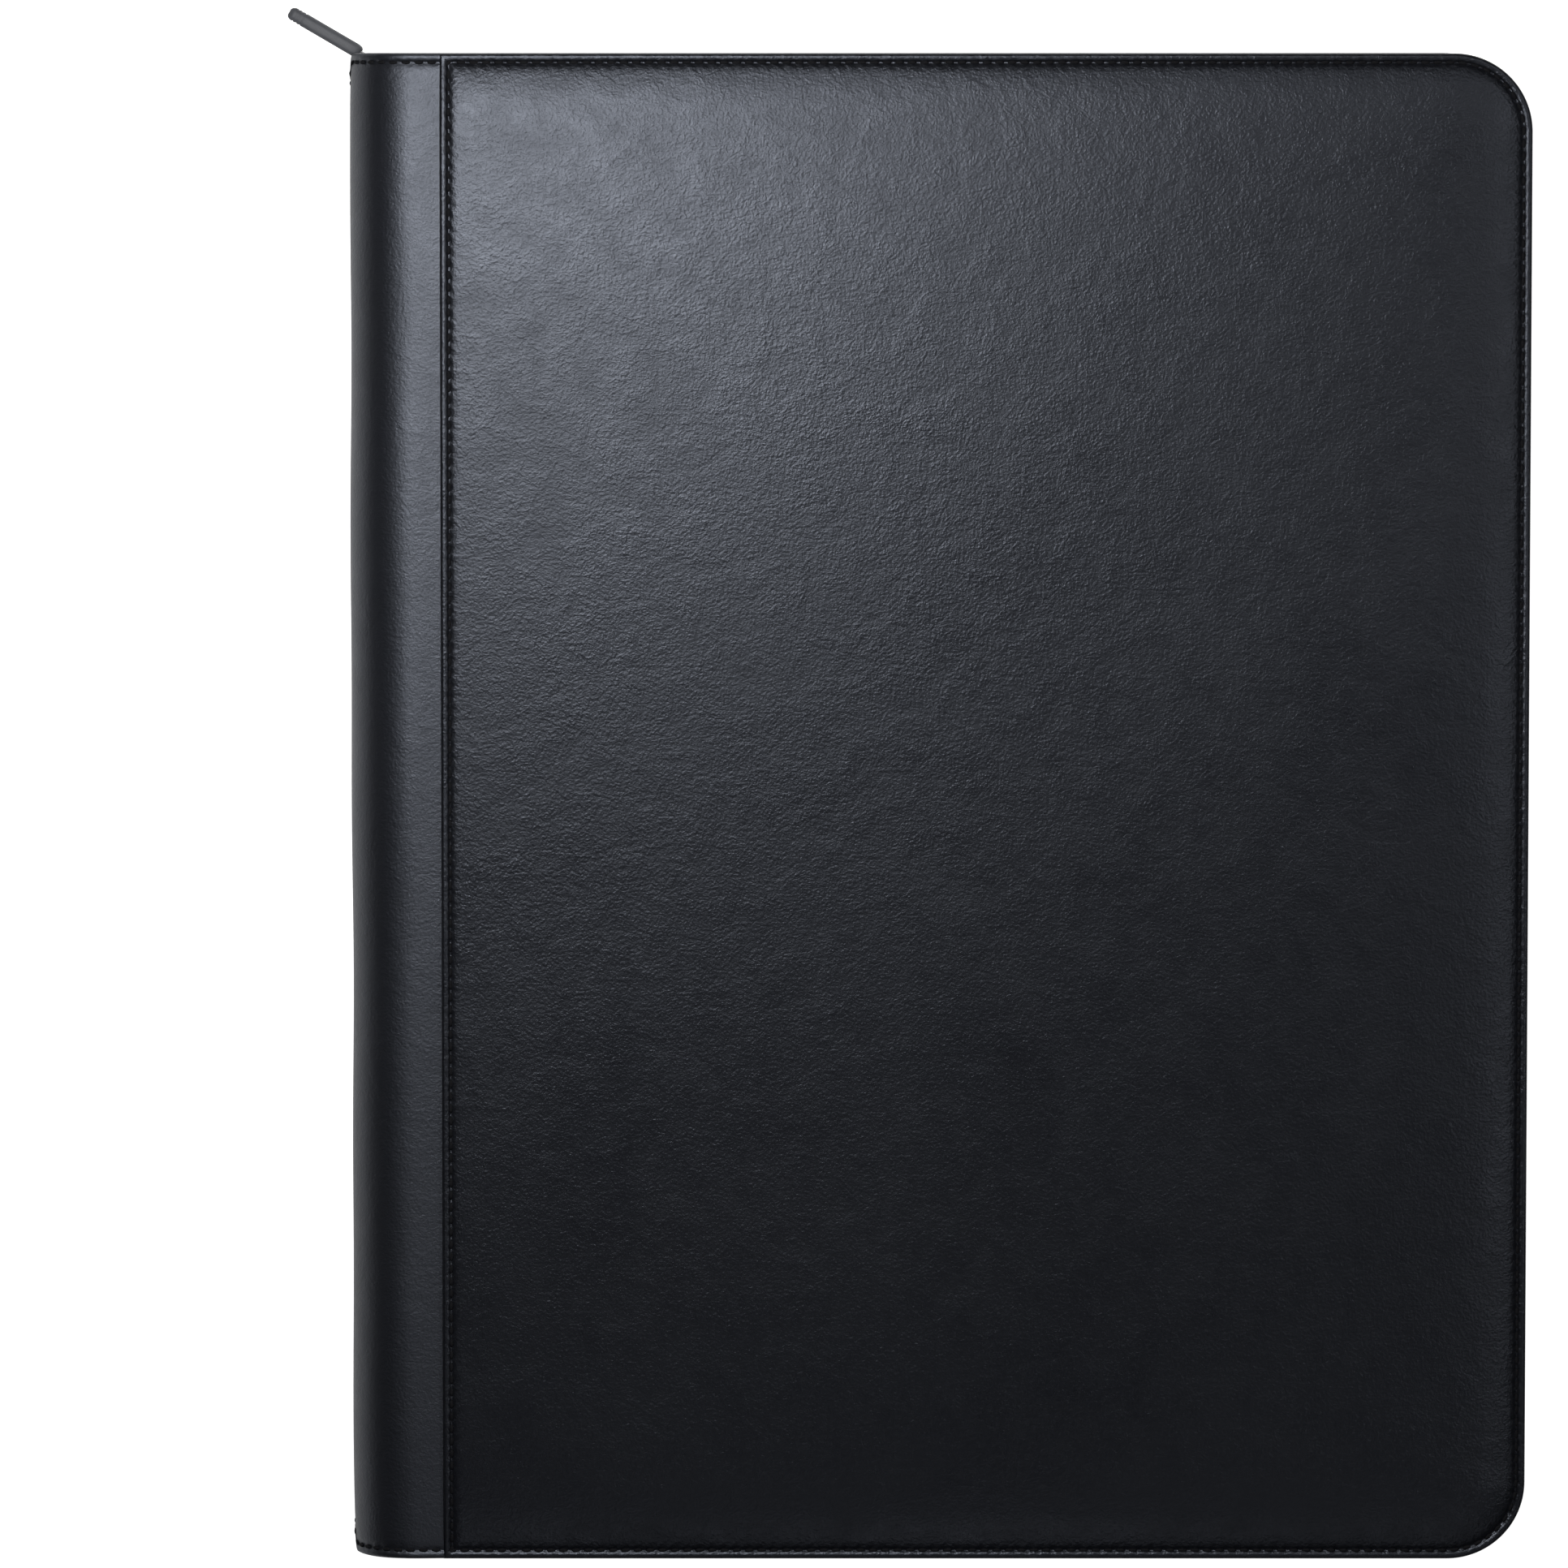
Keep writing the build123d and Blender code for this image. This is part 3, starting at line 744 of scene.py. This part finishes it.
def spine_half(side):
    """Half of the rounded spine strip, from its seam to half-way up, round its turn."""
    loops = []
    for t in steps(0.02, strip_half, skin_step):
        end = strip_end(t)
        outer = []
        for inset, depth in EDGE_ROLL:
            pull = groove_pull(t, inset) if inset > 1.2 else 0
            outer.append((end - inset, min(depth, 3.9) + pull))
        inner_y = shares(-end + 14, end - 14, 56)
        row = [(-y, d) for y, d in outer] + [(y, 0.0) for y in inner_y] + outer[::-1]
        loop = []
        for y, depth in row:
            x, z = strip_place(t, thin(t, depth) - (wavy(t, y) if depth < 1 else 0))
            loop.append(flip((x, y, z), side))
        loops.append(loop)
    piece = soften(loft(f"{side}_spine_strip", loops, spine_hide), 60)
    lines = []
    for sign in (1, -1):
        line = []
        for t in steps(0.5, strip_half, skin_step):
            x, z = strip_place(t, groove_depth)
            line.append(flip((x, sign * (strip_end(t) - stitch_inset), z), side))
        lines.append(line)
    stitches = run_along(f"{side}_spine_stitches", lines, stitch_row)
    hidden = [f"{side}_hinge_strip", f"{side}_hinge_foam"]
    if side == "back":
        hidden += ["spine_leather", "spine_ends", "spine_foam"]
    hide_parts(*hidden)
    for part in (piece, stitches):
        bend_at_turn(part, side)


def bend_at_turn(piece, side):
    """Bake a piece's place into its mesh; the points where the rounded turn starts and ends are found but
    not used.
    """
    flat = [c * MM for c in flip((curl_x, 0, 0), side)]
    upright = [c * MM for c in flip((spine_x, 0, spine_r), side)]
    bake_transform(piece)


def cover_lining(side):
    """Inner lining over the board and round into the spine, one sheet for each cover."""
    inner, outer = panel_t, panel_t - 0.5
    loops = []
    flat_x = steps(fore_x - leather_t, seam_x, 4)
    for x in flat_x[:-1]:
        past = max(0.0, x - (fore_x - corner_r))
        end = head_y - corner_r + math.sqrt(max(0.0, (corner_r - leather_t) ** 2 - past**2))
        end = min(end, head_y - leather_t)
        loops.append(lining_loop(x, outer, x, inner, end, side))
    for t in steps(0, strip_half, 1.2):
        x_out, z_out = strip_place(t, thin(t, outer))
        x_in, z_in = strip_place(t, thin(t, inner))
        settle = seam_step * smooth_step(1 - t / flat_l)
        drop = settle if t < flat_l else 0
        end = min(head_y, strip_end(t)) - leather_t
        loops.append(lining_loop(x_out, z_out - drop, x_in, z_in - drop, end, side))
    piece = soften(loft(f"{side}_lining_sheet", loops, lining_cloth))
    hidden = [f"{side}_lining"] + (["spine_lining"] if side == "back" else [])
    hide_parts(*hidden)
    length = (fore_x - seam_x + strip_half) * MM
    bend_at_turn(piece, side)


def lining_loop(x_out, z_out, x_in, z_in, end, side):
    """Section of the lining across the binder."""
    ys = shares(-end, end, 14)
    upper = [flip((x_in, y, z_in), side) for y in ys]
    lower = [flip((x_out, y, z_out), side) for y in reversed(ys)]
    return upper + lower


# ---- gussets and zip ----

head_run = (fore_x - wall_recess - wall_corner_r) - wall_start_x
bend_run = wall_corner_r * math.pi / 2
fore_run = 2 * (wall_face_y - wall_corner_r)
wall_run = 2 * head_run + 2 * bend_run + fore_run


def wall_place(s, depth):
    """(x, y) on the gusset line, s along it from the spine end at the head, depth inside."""
    centre_x = fore_x - wall_recess - wall_corner_r
    centre_y = wall_face_y - wall_corner_r
    reach = wall_corner_r - depth
    if s < head_run:
        return wall_start_x + s, wall_face_y - depth
    s -= head_run
    if s < bend_run:
        a = math.pi / 2 - s / wall_corner_r
        return centre_x + reach * math.cos(a), centre_y + reach * math.sin(a)
    s -= bend_run
    if s < fore_run:
        return centre_x + reach, centre_y - s
    s -= fore_run
    if s < bend_run:
        a = -s / wall_corner_r
        return centre_x + reach * math.cos(a), -centre_y + reach * math.sin(a)
    s -= bend_run
    return centre_x - s, -wall_face_y + depth


def lean(s, rise):
    """How far the gusset leans out at a height: fuller at the corners, still at the head."""
    share = smooth_step(rise)
    corner = 0.0
    for at in (head_run + bend_run / 2, head_run + bend_run * 1.5 + fore_run):
        corner += 2.4 * math.exp(-(((s - at) / 30) ** 2))
    past_head = smooth_step((s - head_run) / 60)
    to_end = smooth_step((wall_run - s) / 40)
    ripple = 0.7 * math.sin(s * 0.041) + 0.45 * math.sin(s * 0.093 + 1.3)
    return share * (corner * past_head + ripple * past_head * to_end)


def wall_strip(name, finish, s_low, low, high, outer, inner, side, folds):
    """A strip of the gusset from one height to another, as thick as outer to inner depth."""
    loops = []
    for s in steps(s_low, wall_run - s_low, 3.0):
        faces = []
        for depth in (outer, inner):
            line = []
            for part in shares(0, 1, folds):
                rise = low + (high - low) * part
                out = lean(s, (rise - panel_t) / (mid_z - panel_t))
                x, y = wall_place(s, depth - out)
                line.append(flip((x, y, rise), side))
            faces.append(line)
        loops.append(faces[0] + faces[1][::-1])
    piece = soften(loft(name, loops, finish))
    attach(piece, f"{side}_cover")
    return piece


def gusset_wall(side):
    """Canvas wall, twill zip tape and coil of one cover."""
    wall = wall_strip(f"{side}_canvas_wall", canvas, curl_x - wall_start_x,
                      gusset_low.z, gusset_high.z, 0.0, 1.0, side, 5)
    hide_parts(f"{side}_gusset")
    wall_run * MM
    tape_foot = tape_low.z - 1.2
    tape_top = tape_high.z + 0.6
    tape = wall_strip(f"{side}_tape", twill, 0, tape_foot, tape_top, 1.0, 1.7, side, 4)
    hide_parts(f"{side}_zip_tape")
    wall_run * MM
    coil_depth = wall_face_y - (coil_high.y + coil_high.y - 2.4) / 2
    coil_z = (coil_low.z + coil_high.z) / 2
    line = []
    for s in steps(coil_low.x - wall_start_x, wall_run - (coil_low.x - wall_start_x), 1.5):
        out = lean(s, (coil_z - panel_t) / (mid_z - panel_t))
        x, y = wall_place(s, coil_depth - out)
        line.append(flip((x, y, coil_z), side))
    coil = run_along(f"{side}_coil", [line], tooth_row)
    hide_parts(f"{side}_zip_coil")
    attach(coil, f"{side}_cover")
    seams = []
    for rise in (tape_low.z + 1.2, gusset_high.z - 0.7):
        seam = []
        for s in steps(curl_x - wall_start_x, wall_run - (curl_x - wall_start_x), 3.0):
            out = lean(s, (rise - panel_t) / (mid_z - panel_t))
            x, y = wall_place(s, -0.05 - out)
            seam.append(flip((x, y, rise), side))
        seams.append(seam)
    sewn = run_along(f"{side}_gusset_stitches", seams, fine_stitch_row)
    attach(sewn, f"{side}_cover")


def gusset_tail(side, sign):
    """Soft end of the gusset beside the spine."""
    loops = []
    tail_y = sign * (wall_face_y - 1.4)
    for part in steps(0, 1, 0.1):
        x = wall_start_x + 2 - (wall_start_x + 2 - (spine_x + panel_t + 0.4)) * part
        low = tape_low.z + (mid_z - 4 - tape_low.z) * smooth_step(part)
        high = tape_high.z + 1.5 * smooth_step(part)
        sag = 1.2 * math.sin(math.pi * part)
        ys = (tail_y - sign * sag, tail_y - sign * (sag + 0.6))
        rise = shares(low, high, 4)
        outer = [flip((x, ys[0], z), side) for z in rise]
        inner = [flip((x, ys[1], z), side) for z in reversed(rise)]
        loops.append(outer + inner)
    where = "head" if sign > 0 else "foot"
    piece = soften(loft(f"{side}_{where}_gusset_tail", loops, twill))
    start = [c * MM for c in flip((wall_start_x + 2, 0, mid_z - 6), side)]
    end = [c * MM for c in flip((spine_x + panel_t + 0.4, 0, mid_z - 6), side)]
    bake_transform(piece)


# ---- pages ----


def page_leaf(number, rng):
    """One leaf: a backing with a clear film each side, puffed over its pockets."""
    low, high = span(f"leaf_{number:02d}")
    middle_z = (low.z + high.z) / 2
    half = (high.z - low.z) / 2
    xs = steps(low.x, high.x, pocket_w / 8)
    ys = steps(low.y, high.y, pocket_h / 8)
    shift_y = rng.uniform(-0.5, 0.5)
    shift_x = rng.uniform(-0.4, 0.0)

    def puff(x, y):
        across = abs(math.sin(math.pi * (x - low.x) / pocket_w))
        along = abs(math.sin(math.pi * (y - low.y) / pocket_h))
        return 0.45 * half + 0.5 * half * min(1.0, 1.6 * across) * min(1.0, 1.6 * along)

    parts = []
    for sign in (0, 1, -1):
        loops = []
        for x in xs:
            upper, lower = [], []
            for y in ys:
                if sign == 0:
                    z_up, z_down = middle_z + 0.2, middle_z - 0.2
                elif sign > 0:
                    z_up, z_down = middle_z + puff(x, y), middle_z + puff(x, y) - 0.12
                else:
                    z_up, z_down = middle_z - puff(x, y) + 0.12, middle_z - puff(x, y)
                upper.append((x + shift_x * (x > high.x - 1), y + shift_y, z_up))
                lower.append((x + shift_x * (x > high.x - 1), y + shift_y, z_down))
            loops.append(upper + lower[::-1])
        parts.append(soften(loft("film", loops, leaf_look)))
    piece = join(f"pocket_leaf_{number:02d}", parts)
    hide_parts(f"leaf_{number:02d}")
    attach(piece, "back_pages" if number <= 10 else "front_pages")


def margin_ribbons(side):
    """Inner margins of ten leaves, from the binding out to the stack."""
    seam_start = margin_low.x + 0.1
    numbers = range(1, 11) if side == "back" else range(20, 10, -1)
    for order, number in enumerate(numbers):
        low, high = span(f"leaf_{order + 1:02d}")
        leaf_z = (low.z + high.z) / 2
        seam_z = mid_z - 0.35 - 0.28 * (9 - order)
        loops = []
        for part in steps(0, 1, 0.05):
            x = seam_start + (low.x + 0.5 - seam_start) * part
            rise = smooth_step(part**1.2)
            z = seam_z + (leaf_z - seam_z) * rise
            ys = steps(-page_h / 2, page_h / 2, page_h / 12)
            over = [flip((x, y, z + 0.11), side) for y in ys]
            under = [flip((x, y, z - 0.11), side) for y in reversed(ys)]
            loops.append(over + under)
        piece = soften(loft(f"{side}_margin_{number:02d}", loops, margin_look))
        if order == 9:
            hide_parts(f"{side}_page_margins")
        start = [c * MM for c in flip((seam_start, 0, mid_z), side)]
        end = [c * MM for c in flip((low.x, 0, mid_z), side)]
        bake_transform(piece)


def binding_zigzag():
    """Zigzag sewing over the gathered margins, down the middle of the spine."""
    x = margin_low.x + 0.55
    reach = 2.4
    line = []
    for i, y in enumerate(steps(-page_h / 2 + 4, page_h / 2 - 4, 2.6)):
        line.append((x, y, mid_z + (reach if i % 2 else -reach)))
    zigzag = run_along("binding_sewing", [line], zigzag_row)
    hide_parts("binding_thread")
    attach(zigzag, "spine")


CARD_COLOURS = [
    ((0.28, 0.6, 0.85), (0.42, 0.46, 0.5)), ((0.045, 0.055, 0.07), (0.16, 0.36, 0.7)),
    ((0.36, 0.13, 0.52), (0.2, 0.3, 0.62)), ((0.72, 0.46, 0.1), (0.86, 0.62, 0.2)),
    ((0.86, 0.4, 0.07), (0.2, 0.42, 0.7)), ((0.05, 0.06, 0.07), (0.5, 0.09, 0.06)),
    ((0.78, 0.79, 0.8), (0.72, 0.75, 0.4)), ((0.2, 0.56, 0.83), (0.4, 0.7, 0.86)),
    ((0.86, 0.4, 0.07), (0.56, 0.6, 0.62)), ((0.4, 0.17, 0.56), (0.8, 0.36, 0.16)),
    ((0.4, 0.17, 0.56), (0.55, 0.62, 0.42)), ((0.56, 0.72, 0.08), (0.16, 0.34, 0.12)),
    ((0.8, 0.66, 0.09), (0.05, 0.05, 0.05)), ((0.83, 0.84, 0.85), (0.36, 0.52, 0.26)),
    ((0.82, 0.83, 0.84), (0.1, 0.16, 0.4)), ((0.4, 0.17, 0.56), (0.24, 0.5, 0.74)),
]
RIGHT_COLOURS = [
    ((0.5, 0.52, 0.55), (0.3, 0.34, 0.4)), ((0.86, 0.4, 0.07), (0.6, 0.3, 0.12)),
    ((0.8, 0.66, 0.09), (0.12, 0.1, 0.06)), ((0.42, 0.44, 0.48), (0.62, 0.64, 0.68)),
    ((0.74, 0.14, 0.08), (0.8, 0.42, 0.1)), ((0.56, 0.72, 0.08), (0.2, 0.42, 0.12)),
    ((0.28, 0.6, 0.85), (0.16, 0.32, 0.62)), ((0.2, 0.07, 0.3), (0.4, 0.2, 0.5)),
    ((0.28, 0.6, 0.85), (0.2, 0.5, 0.5)), ((0.4, 0.17, 0.56), (0.5, 0.3, 0.66)),
    ((0.4, 0.17, 0.56), (0.62, 0.3, 0.3)), ((0.76, 0.55, 0.1), (0.84, 0.66, 0.2)),
    ((0.8, 0.2, 0.08), (0.84, 0.5, 0.16)), ((0.7, 0.58, 0.08), (0.04, 0.04, 0.05)),
    ((0.82, 0.83, 0.84), (0.4, 0.5, 0.3)), ((0.05, 0.07, 0.14), (0.14, 0.2, 0.42)),
]
# Which cards have a yellow frame, a picture over the whole card, or one large disc.
YELLOW_RIMS = {"front": (6,), "back": (0, 4, 14, 15)}
FULL_PICTURES = {"front": (3,), "back": (3, 11)}
LARGE_DISCS = {"front": (12,), "back": (2, 13, 15)}


def card_outline(width, height, radius):
    points = []
    for cx, cy, first in ((1, 1, 0), (-1, 1, 90), (-1, -1, 180), (1, -1, 270)):
        for a in steps(first, first + 90, 30):
            x = cx * (width / 2 - radius) + radius * math.cos(math.radians(a))
            y = cy * (height / 2 - radius) + radius * math.sin(math.radians(a))
            points.append((x, y))
    return points


def facing_cards(side, rng):
    """Sixteen cards in the pockets that face the reader."""
    node_low, node_high = span(f"{side}_cards")
    body = f"{side}_pages"
    width, height = card_w, card_h
    inset = 3.0
    columns = [-page_w / 2 + inset + width / 2, -inset - width / 2,
               inset + width / 2, page_w / 2 - inset - width / 2]
    points, faces, uvs = [], [], []
    outline = card_outline(width, height, 3.2)
    for row in range(4):
        for column in range(4):
            index = row * 4 + (column if side == "back" else 3 - column)
            slip_x, slip_y = rng.uniform(-0.4, 0.4), rng.uniform(-1.6, 1.6)
            turn = math.radians(rng.uniform(-0.5, 0.5))
            cx = page_mid_x + columns[column] + slip_x
            cy = page_h / 2 - pocket_h * (row + 0.5) + slip_y
            base = len(points)
            for z in (node_low.z, node_high.z):
                for x, y in outline:
                    points.append((cx + x * math.cos(turn) - y * math.sin(turn),
                                   cy + x * math.sin(turn) + y * math.cos(turn), z))
            size = len(outline)
            loops = [list(range(base, base + size)), list(range(base + size, base + 2 * size))]
            for i in range(size):
                j = (i + 1) % size
                loops.append([base + i, base + j, base + size + j, base + size + i])
            faces += loops
            for x, y in outline * 2:
                across = (x / width + 0.5) if side == "back" else (0.5 - x / width)
                uvs.append((across, y / height + 0.5, index))
    piece = mesh_piece(f"{side}_facing_cards", points, faces, card_look, smooth=False)
    mesh = piece.data
    layer = mesh.uv_layers.new(name="face")
    for loop in mesh.loops:
        layer.data[loop.index].uv = uvs[loop.vertex_index][:2]
    for label in ("ground", "accent", "rim", "seed"):
        mesh.attributes.new(label, "FLOAT_COLOR", "POINT")
    looks = {label: mesh.attributes[label] for label in ("ground", "accent", "rim", "seed")}
    for i, (_, _, index) in enumerate(uvs):
        ground, accent = (CARD_COLOURS if side == "front" else RIGHT_COLOURS)[index]
        rim = (0.82, 0.66, 0.1) if index in YELLOW_RIMS[side] else (0.6, 0.62, 0.65)
        style = 0.5 if index in FULL_PICTURES[side] else float(index in LARGE_DISCS[side])
        looks["ground"].data[i].color = (*ground, 1)
        looks["accent"].data[i].color = (*accent, 1)
        looks["rim"].data[i].color = (*rim, 1)
        sun = (0.25 + 0.5 * ((index * 7) % 16) / 15, 0.66 + 0.14 * ((index * 5) % 16) / 15)
        looks["seed"].data[i].color = (index / 16, *sun, style)
    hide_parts(f"{side}_cards")
    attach(piece, body)


def pocket_film(side):
    """Clear films over the facing pockets, with the dashed welds that close them."""
    low, high = span(f"{side}_pocket_films")
    z = low.z if side == "back" else high.z
    left, right = low.x, high.x
    slots = (left + pocket_w, left + 3 * pocket_w)
    panels = []
    for a, b in ((left, slots[0] - 0.7), (slots[0] + 0.7, slots[1] - 0.7), (slots[1] + 0.7, right)):
        loops = []
        for x in steps(a, b, 6):
            over, under = [], []
            for y in steps(low.y, high.y, 6.2):
                rows = abs(math.sin(math.pi * (y - low.y) / pocket_h))
                sides = min(1.0, (x - a) / 5, (b - x) / 5)
                swell = 0.14 * min(1.0, rows * 2) * max(0.0, sides)
                up = z + swell if side == "back" else z - swell
                over.append((x, y, up))
                under.append((x, y, up - 0.06 if side == "back" else up + 0.06))
            loops.append(over + under[::-1])
        panels.append(loft("film", loops, film_look))
    piece = join(f"{side}_clear_films", panels)
    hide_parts(f"{side}_pocket_films")
    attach(piece, f"{side}_pages")
    weld_z = z + 0.12 if side == "back" else z - 0.12
    lines = []
    for y in [low.y + 2.0] + [low.y + pocket_h * n for n in (1, 2, 3)] + [high.y - 2.0]:
        lines.append([(left + 2, y, weld_z), (right - 2, y, weld_z)])
    for x in (left + 1.8, page_mid_x, right - 1.8):
        lines.append([(x, low.y + 2, weld_z), (x, high.y - 2, weld_z)])
    welds = run_along(f"{side}_weld_dashes", lines, weld_row)
    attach(welds, f"{side}_pages")


def moulded_tab():
    """Rubber pull: a thick bar over the link's end, with a rounded, ribbed tip."""
    low, high = span("pull_tab")
    link_low, link_high = span("pull_link")
    tip = Vector((low.x, high.y, mid_z))
    root = Vector((link_high.x - 0.8, link_low.y + 0.8, mid_z))
    along = (tip - root).normalized()
    across = Vector((-along.y, along.x, 0))
    length = (tip - root).length - 1.8
    loops = []
    shape = [(6.6, 0.55, 0.8), (7.1, 0.86, 0.92), (8.2, 1.0, 1.0)]
    shape += [(s, 1.0, 1.0) for s in steps(10.5, length - 5.2, 1.5)]
    for n in range(3):
        s = length - 4.6 + n * 1.1
        shape += [(s, 1.0, 1.0), (s + 0.2, 0.9, 0.985), (s + 0.45, 0.9, 0.985), (s + 0.65, 1.0, 1.0)]
    shape += [(length - 1.1, 0.96, 0.96), (length - 0.5, 0.82, 0.88), (length - 0.1, 0.55, 0.72)]
    for s, thick, wide in shape:
        loop = []
        for u, v in card_outline(3.7 * thick, 10.5 * wide, 1.2 * thick):
            p = root + along * s + across * u
            loop.append((p.x, p.y, mid_z + v))
        loops.append(loop)
    piece = soften(loft("moulded_pull_tab", loops, pull_rubber), 50)
    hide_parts("pull_tab")
    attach(piece, "pull_tab")


# ---- finishes for the pieces carried over ----


def dress(node, finish):
    """Give a carried-over piece its finish."""
    slots = frame["nodes"][node].material_slots
    for slot in slots:
        slot.material = finish


weld_finish = plain_finish("pressed weld dash", (0.07, 0.072, 0.08), (0.2, 0.205, 0.22),
                           0.25, 0.4, 500, 0.02)
stitch_row = row_tree("edge stitches", sewing, "stitch",
                      pitch=stitch_pitch, length=2.6, width=1.15, wire=0.7)
fine_stitch_row = row_tree("gusset stitches", sewing, "stitch",
                           pitch=2.6, length=2.0, width=0.5, wire=0.4)
zigzag_row = row_tree("zigzag sewing", sewing, "stitch", pitch=0.8, length=1.2, width=0.5, wire=0.5)
weld_row = row_tree("weld dashes", weld_finish, "stitch", pitch=2.2, length=1.3, width=0.55, wire=0.2)
tooth_row = row_tree("coil turns", nylon, "tooth",
                     pitch=1.35, length=0.0, width=1.05, wire=0.36, slant=0.25)

for cover_side in ("back", "front"):
    cover_panel(cover_side)
    spine_half(cover_side)
    cover_lining(cover_side)
    gusset_wall(cover_side)
    gusset_tail(cover_side, 1)
    gusset_tail(cover_side, -1)
    dress(f"{cover_side}_foam", foam_look)
    dress(f"{cover_side}_board", board_look)
    dress(f"{cover_side}_end_tabs", tab_hide)
    dress(f"{cover_side}_zip_stops", nylon)

leaf_rng = random.Random(11)
for leaf_number in range(1, 21):
    page_leaf(leaf_number, leaf_rng)
card_rng = random.Random(5)
for page_side in ("front", "back"):
    margin_ribbons(page_side)
    facing_cards(page_side, card_rng)
    pocket_film(page_side)
binding_zigzag()
dress("binding_strip", margin_look)
dress("slider_body", enamel)
dress("slider_bridge", enamel)
dress("pull_link", link_steel)
moulded_tab()


# ---- studio ----


def studio():
    """White floor, a soft box close over the head of the spine, and low light from the sides.

    The floor glows white to the camera, and a quarter as much on everything else.
    """
    bpy.ops.mesh.primitive_plane_add(size=14, location=(0, 0, -0.0012))
    floor = bpy.context.object
    floor.name = "studio_floor"
    look = Finish("white floor", (0.8, 0.8, 0.8), 0.9, Specular_IOR_Level=0.0, Emission_Strength=1.0)
    seen = look.node("ShaderNodeLightPath").outputs["Is Camera Ray"]
    glow = look.mix(seen, (0.25, 0.25, 0.25), (1.0, 1.0, 1.0))
    look.feed(look.shader.inputs["Emission Color"], glow)
    floor.data.materials.append(look.material)
    world = bpy.data.worlds.new("studio")
    world.use_nodes = True
    world.node_tree.nodes["Background"].inputs["Color"].default_value = (1, 1, 1, 1)
    world.node_tree.nodes["Background"].inputs["Strength"].default_value = 0.012
    bpy.context.scene.world = world
    bpy.context.scene.view_settings.view_transform = "Standard"
    soft_light("sheen_box", (-0.17, 0.23, 0.62), (0.26, 0.26), 3.0)
    soft_light("fore_light", (0.78, 0.25, 1.5), (0.25, 1.1), 2.8)
    soft_light("head_light", (-0.05, 0.68, 1.5), (0.9, 0.25), 1.2)
    soft_light("foot_light", (0.05, -0.95, 1.5), (1.0, 0.25), 0.9)


def turn_to(holder, aim):
    """Face a holder at a point, its own up towards the binder's head."""
    back = (holder.location - aim).normalized()
    right = Vector((0, 1, 0)).cross(back).normalized()
    up = back.cross(right)
    holder.rotation_euler = Matrix((right, up, back)).transposed().to_euler()


def soft_light(name, place, size, power):
    light = bpy.data.lights.new(name, "AREA")
    light.shape = "RECTANGLE"
    light.size, light.size_y = size
    light.energy = power
    lamp = bpy.data.objects.new(name, light)
    lamp.location = place
    turn_to(lamp, Vector((place[0] * 0.5, place[1] * 0.5, 0)))
    lamp.visible_camera = False
    bpy.context.collection.objects.link(lamp)


def camera():
    """Long lens from above, leaning over the head edge, the cover a little right of centre."""
    aim = Vector((spine_x + 122.4, 7.6, thickness)) * MM
    lean_over = math.radians(4.5)
    reach = 2.7
    sensor_mm = 36
    seen_width = 0.441
    eye = bpy.data.cameras.new("camera")
    eye.lens = sensor_mm * reach / seen_width
    eye.clip_end = 30
    holder = bpy.data.objects.new("camera", eye)
    holder.location = aim + Vector((0, math.sin(lean_over), math.cos(lean_over))) * reach
    turn_to(holder, aim)
    bpy.context.collection.objects.link(holder)
    bpy.context.scene.camera = holder


studio()
camera()
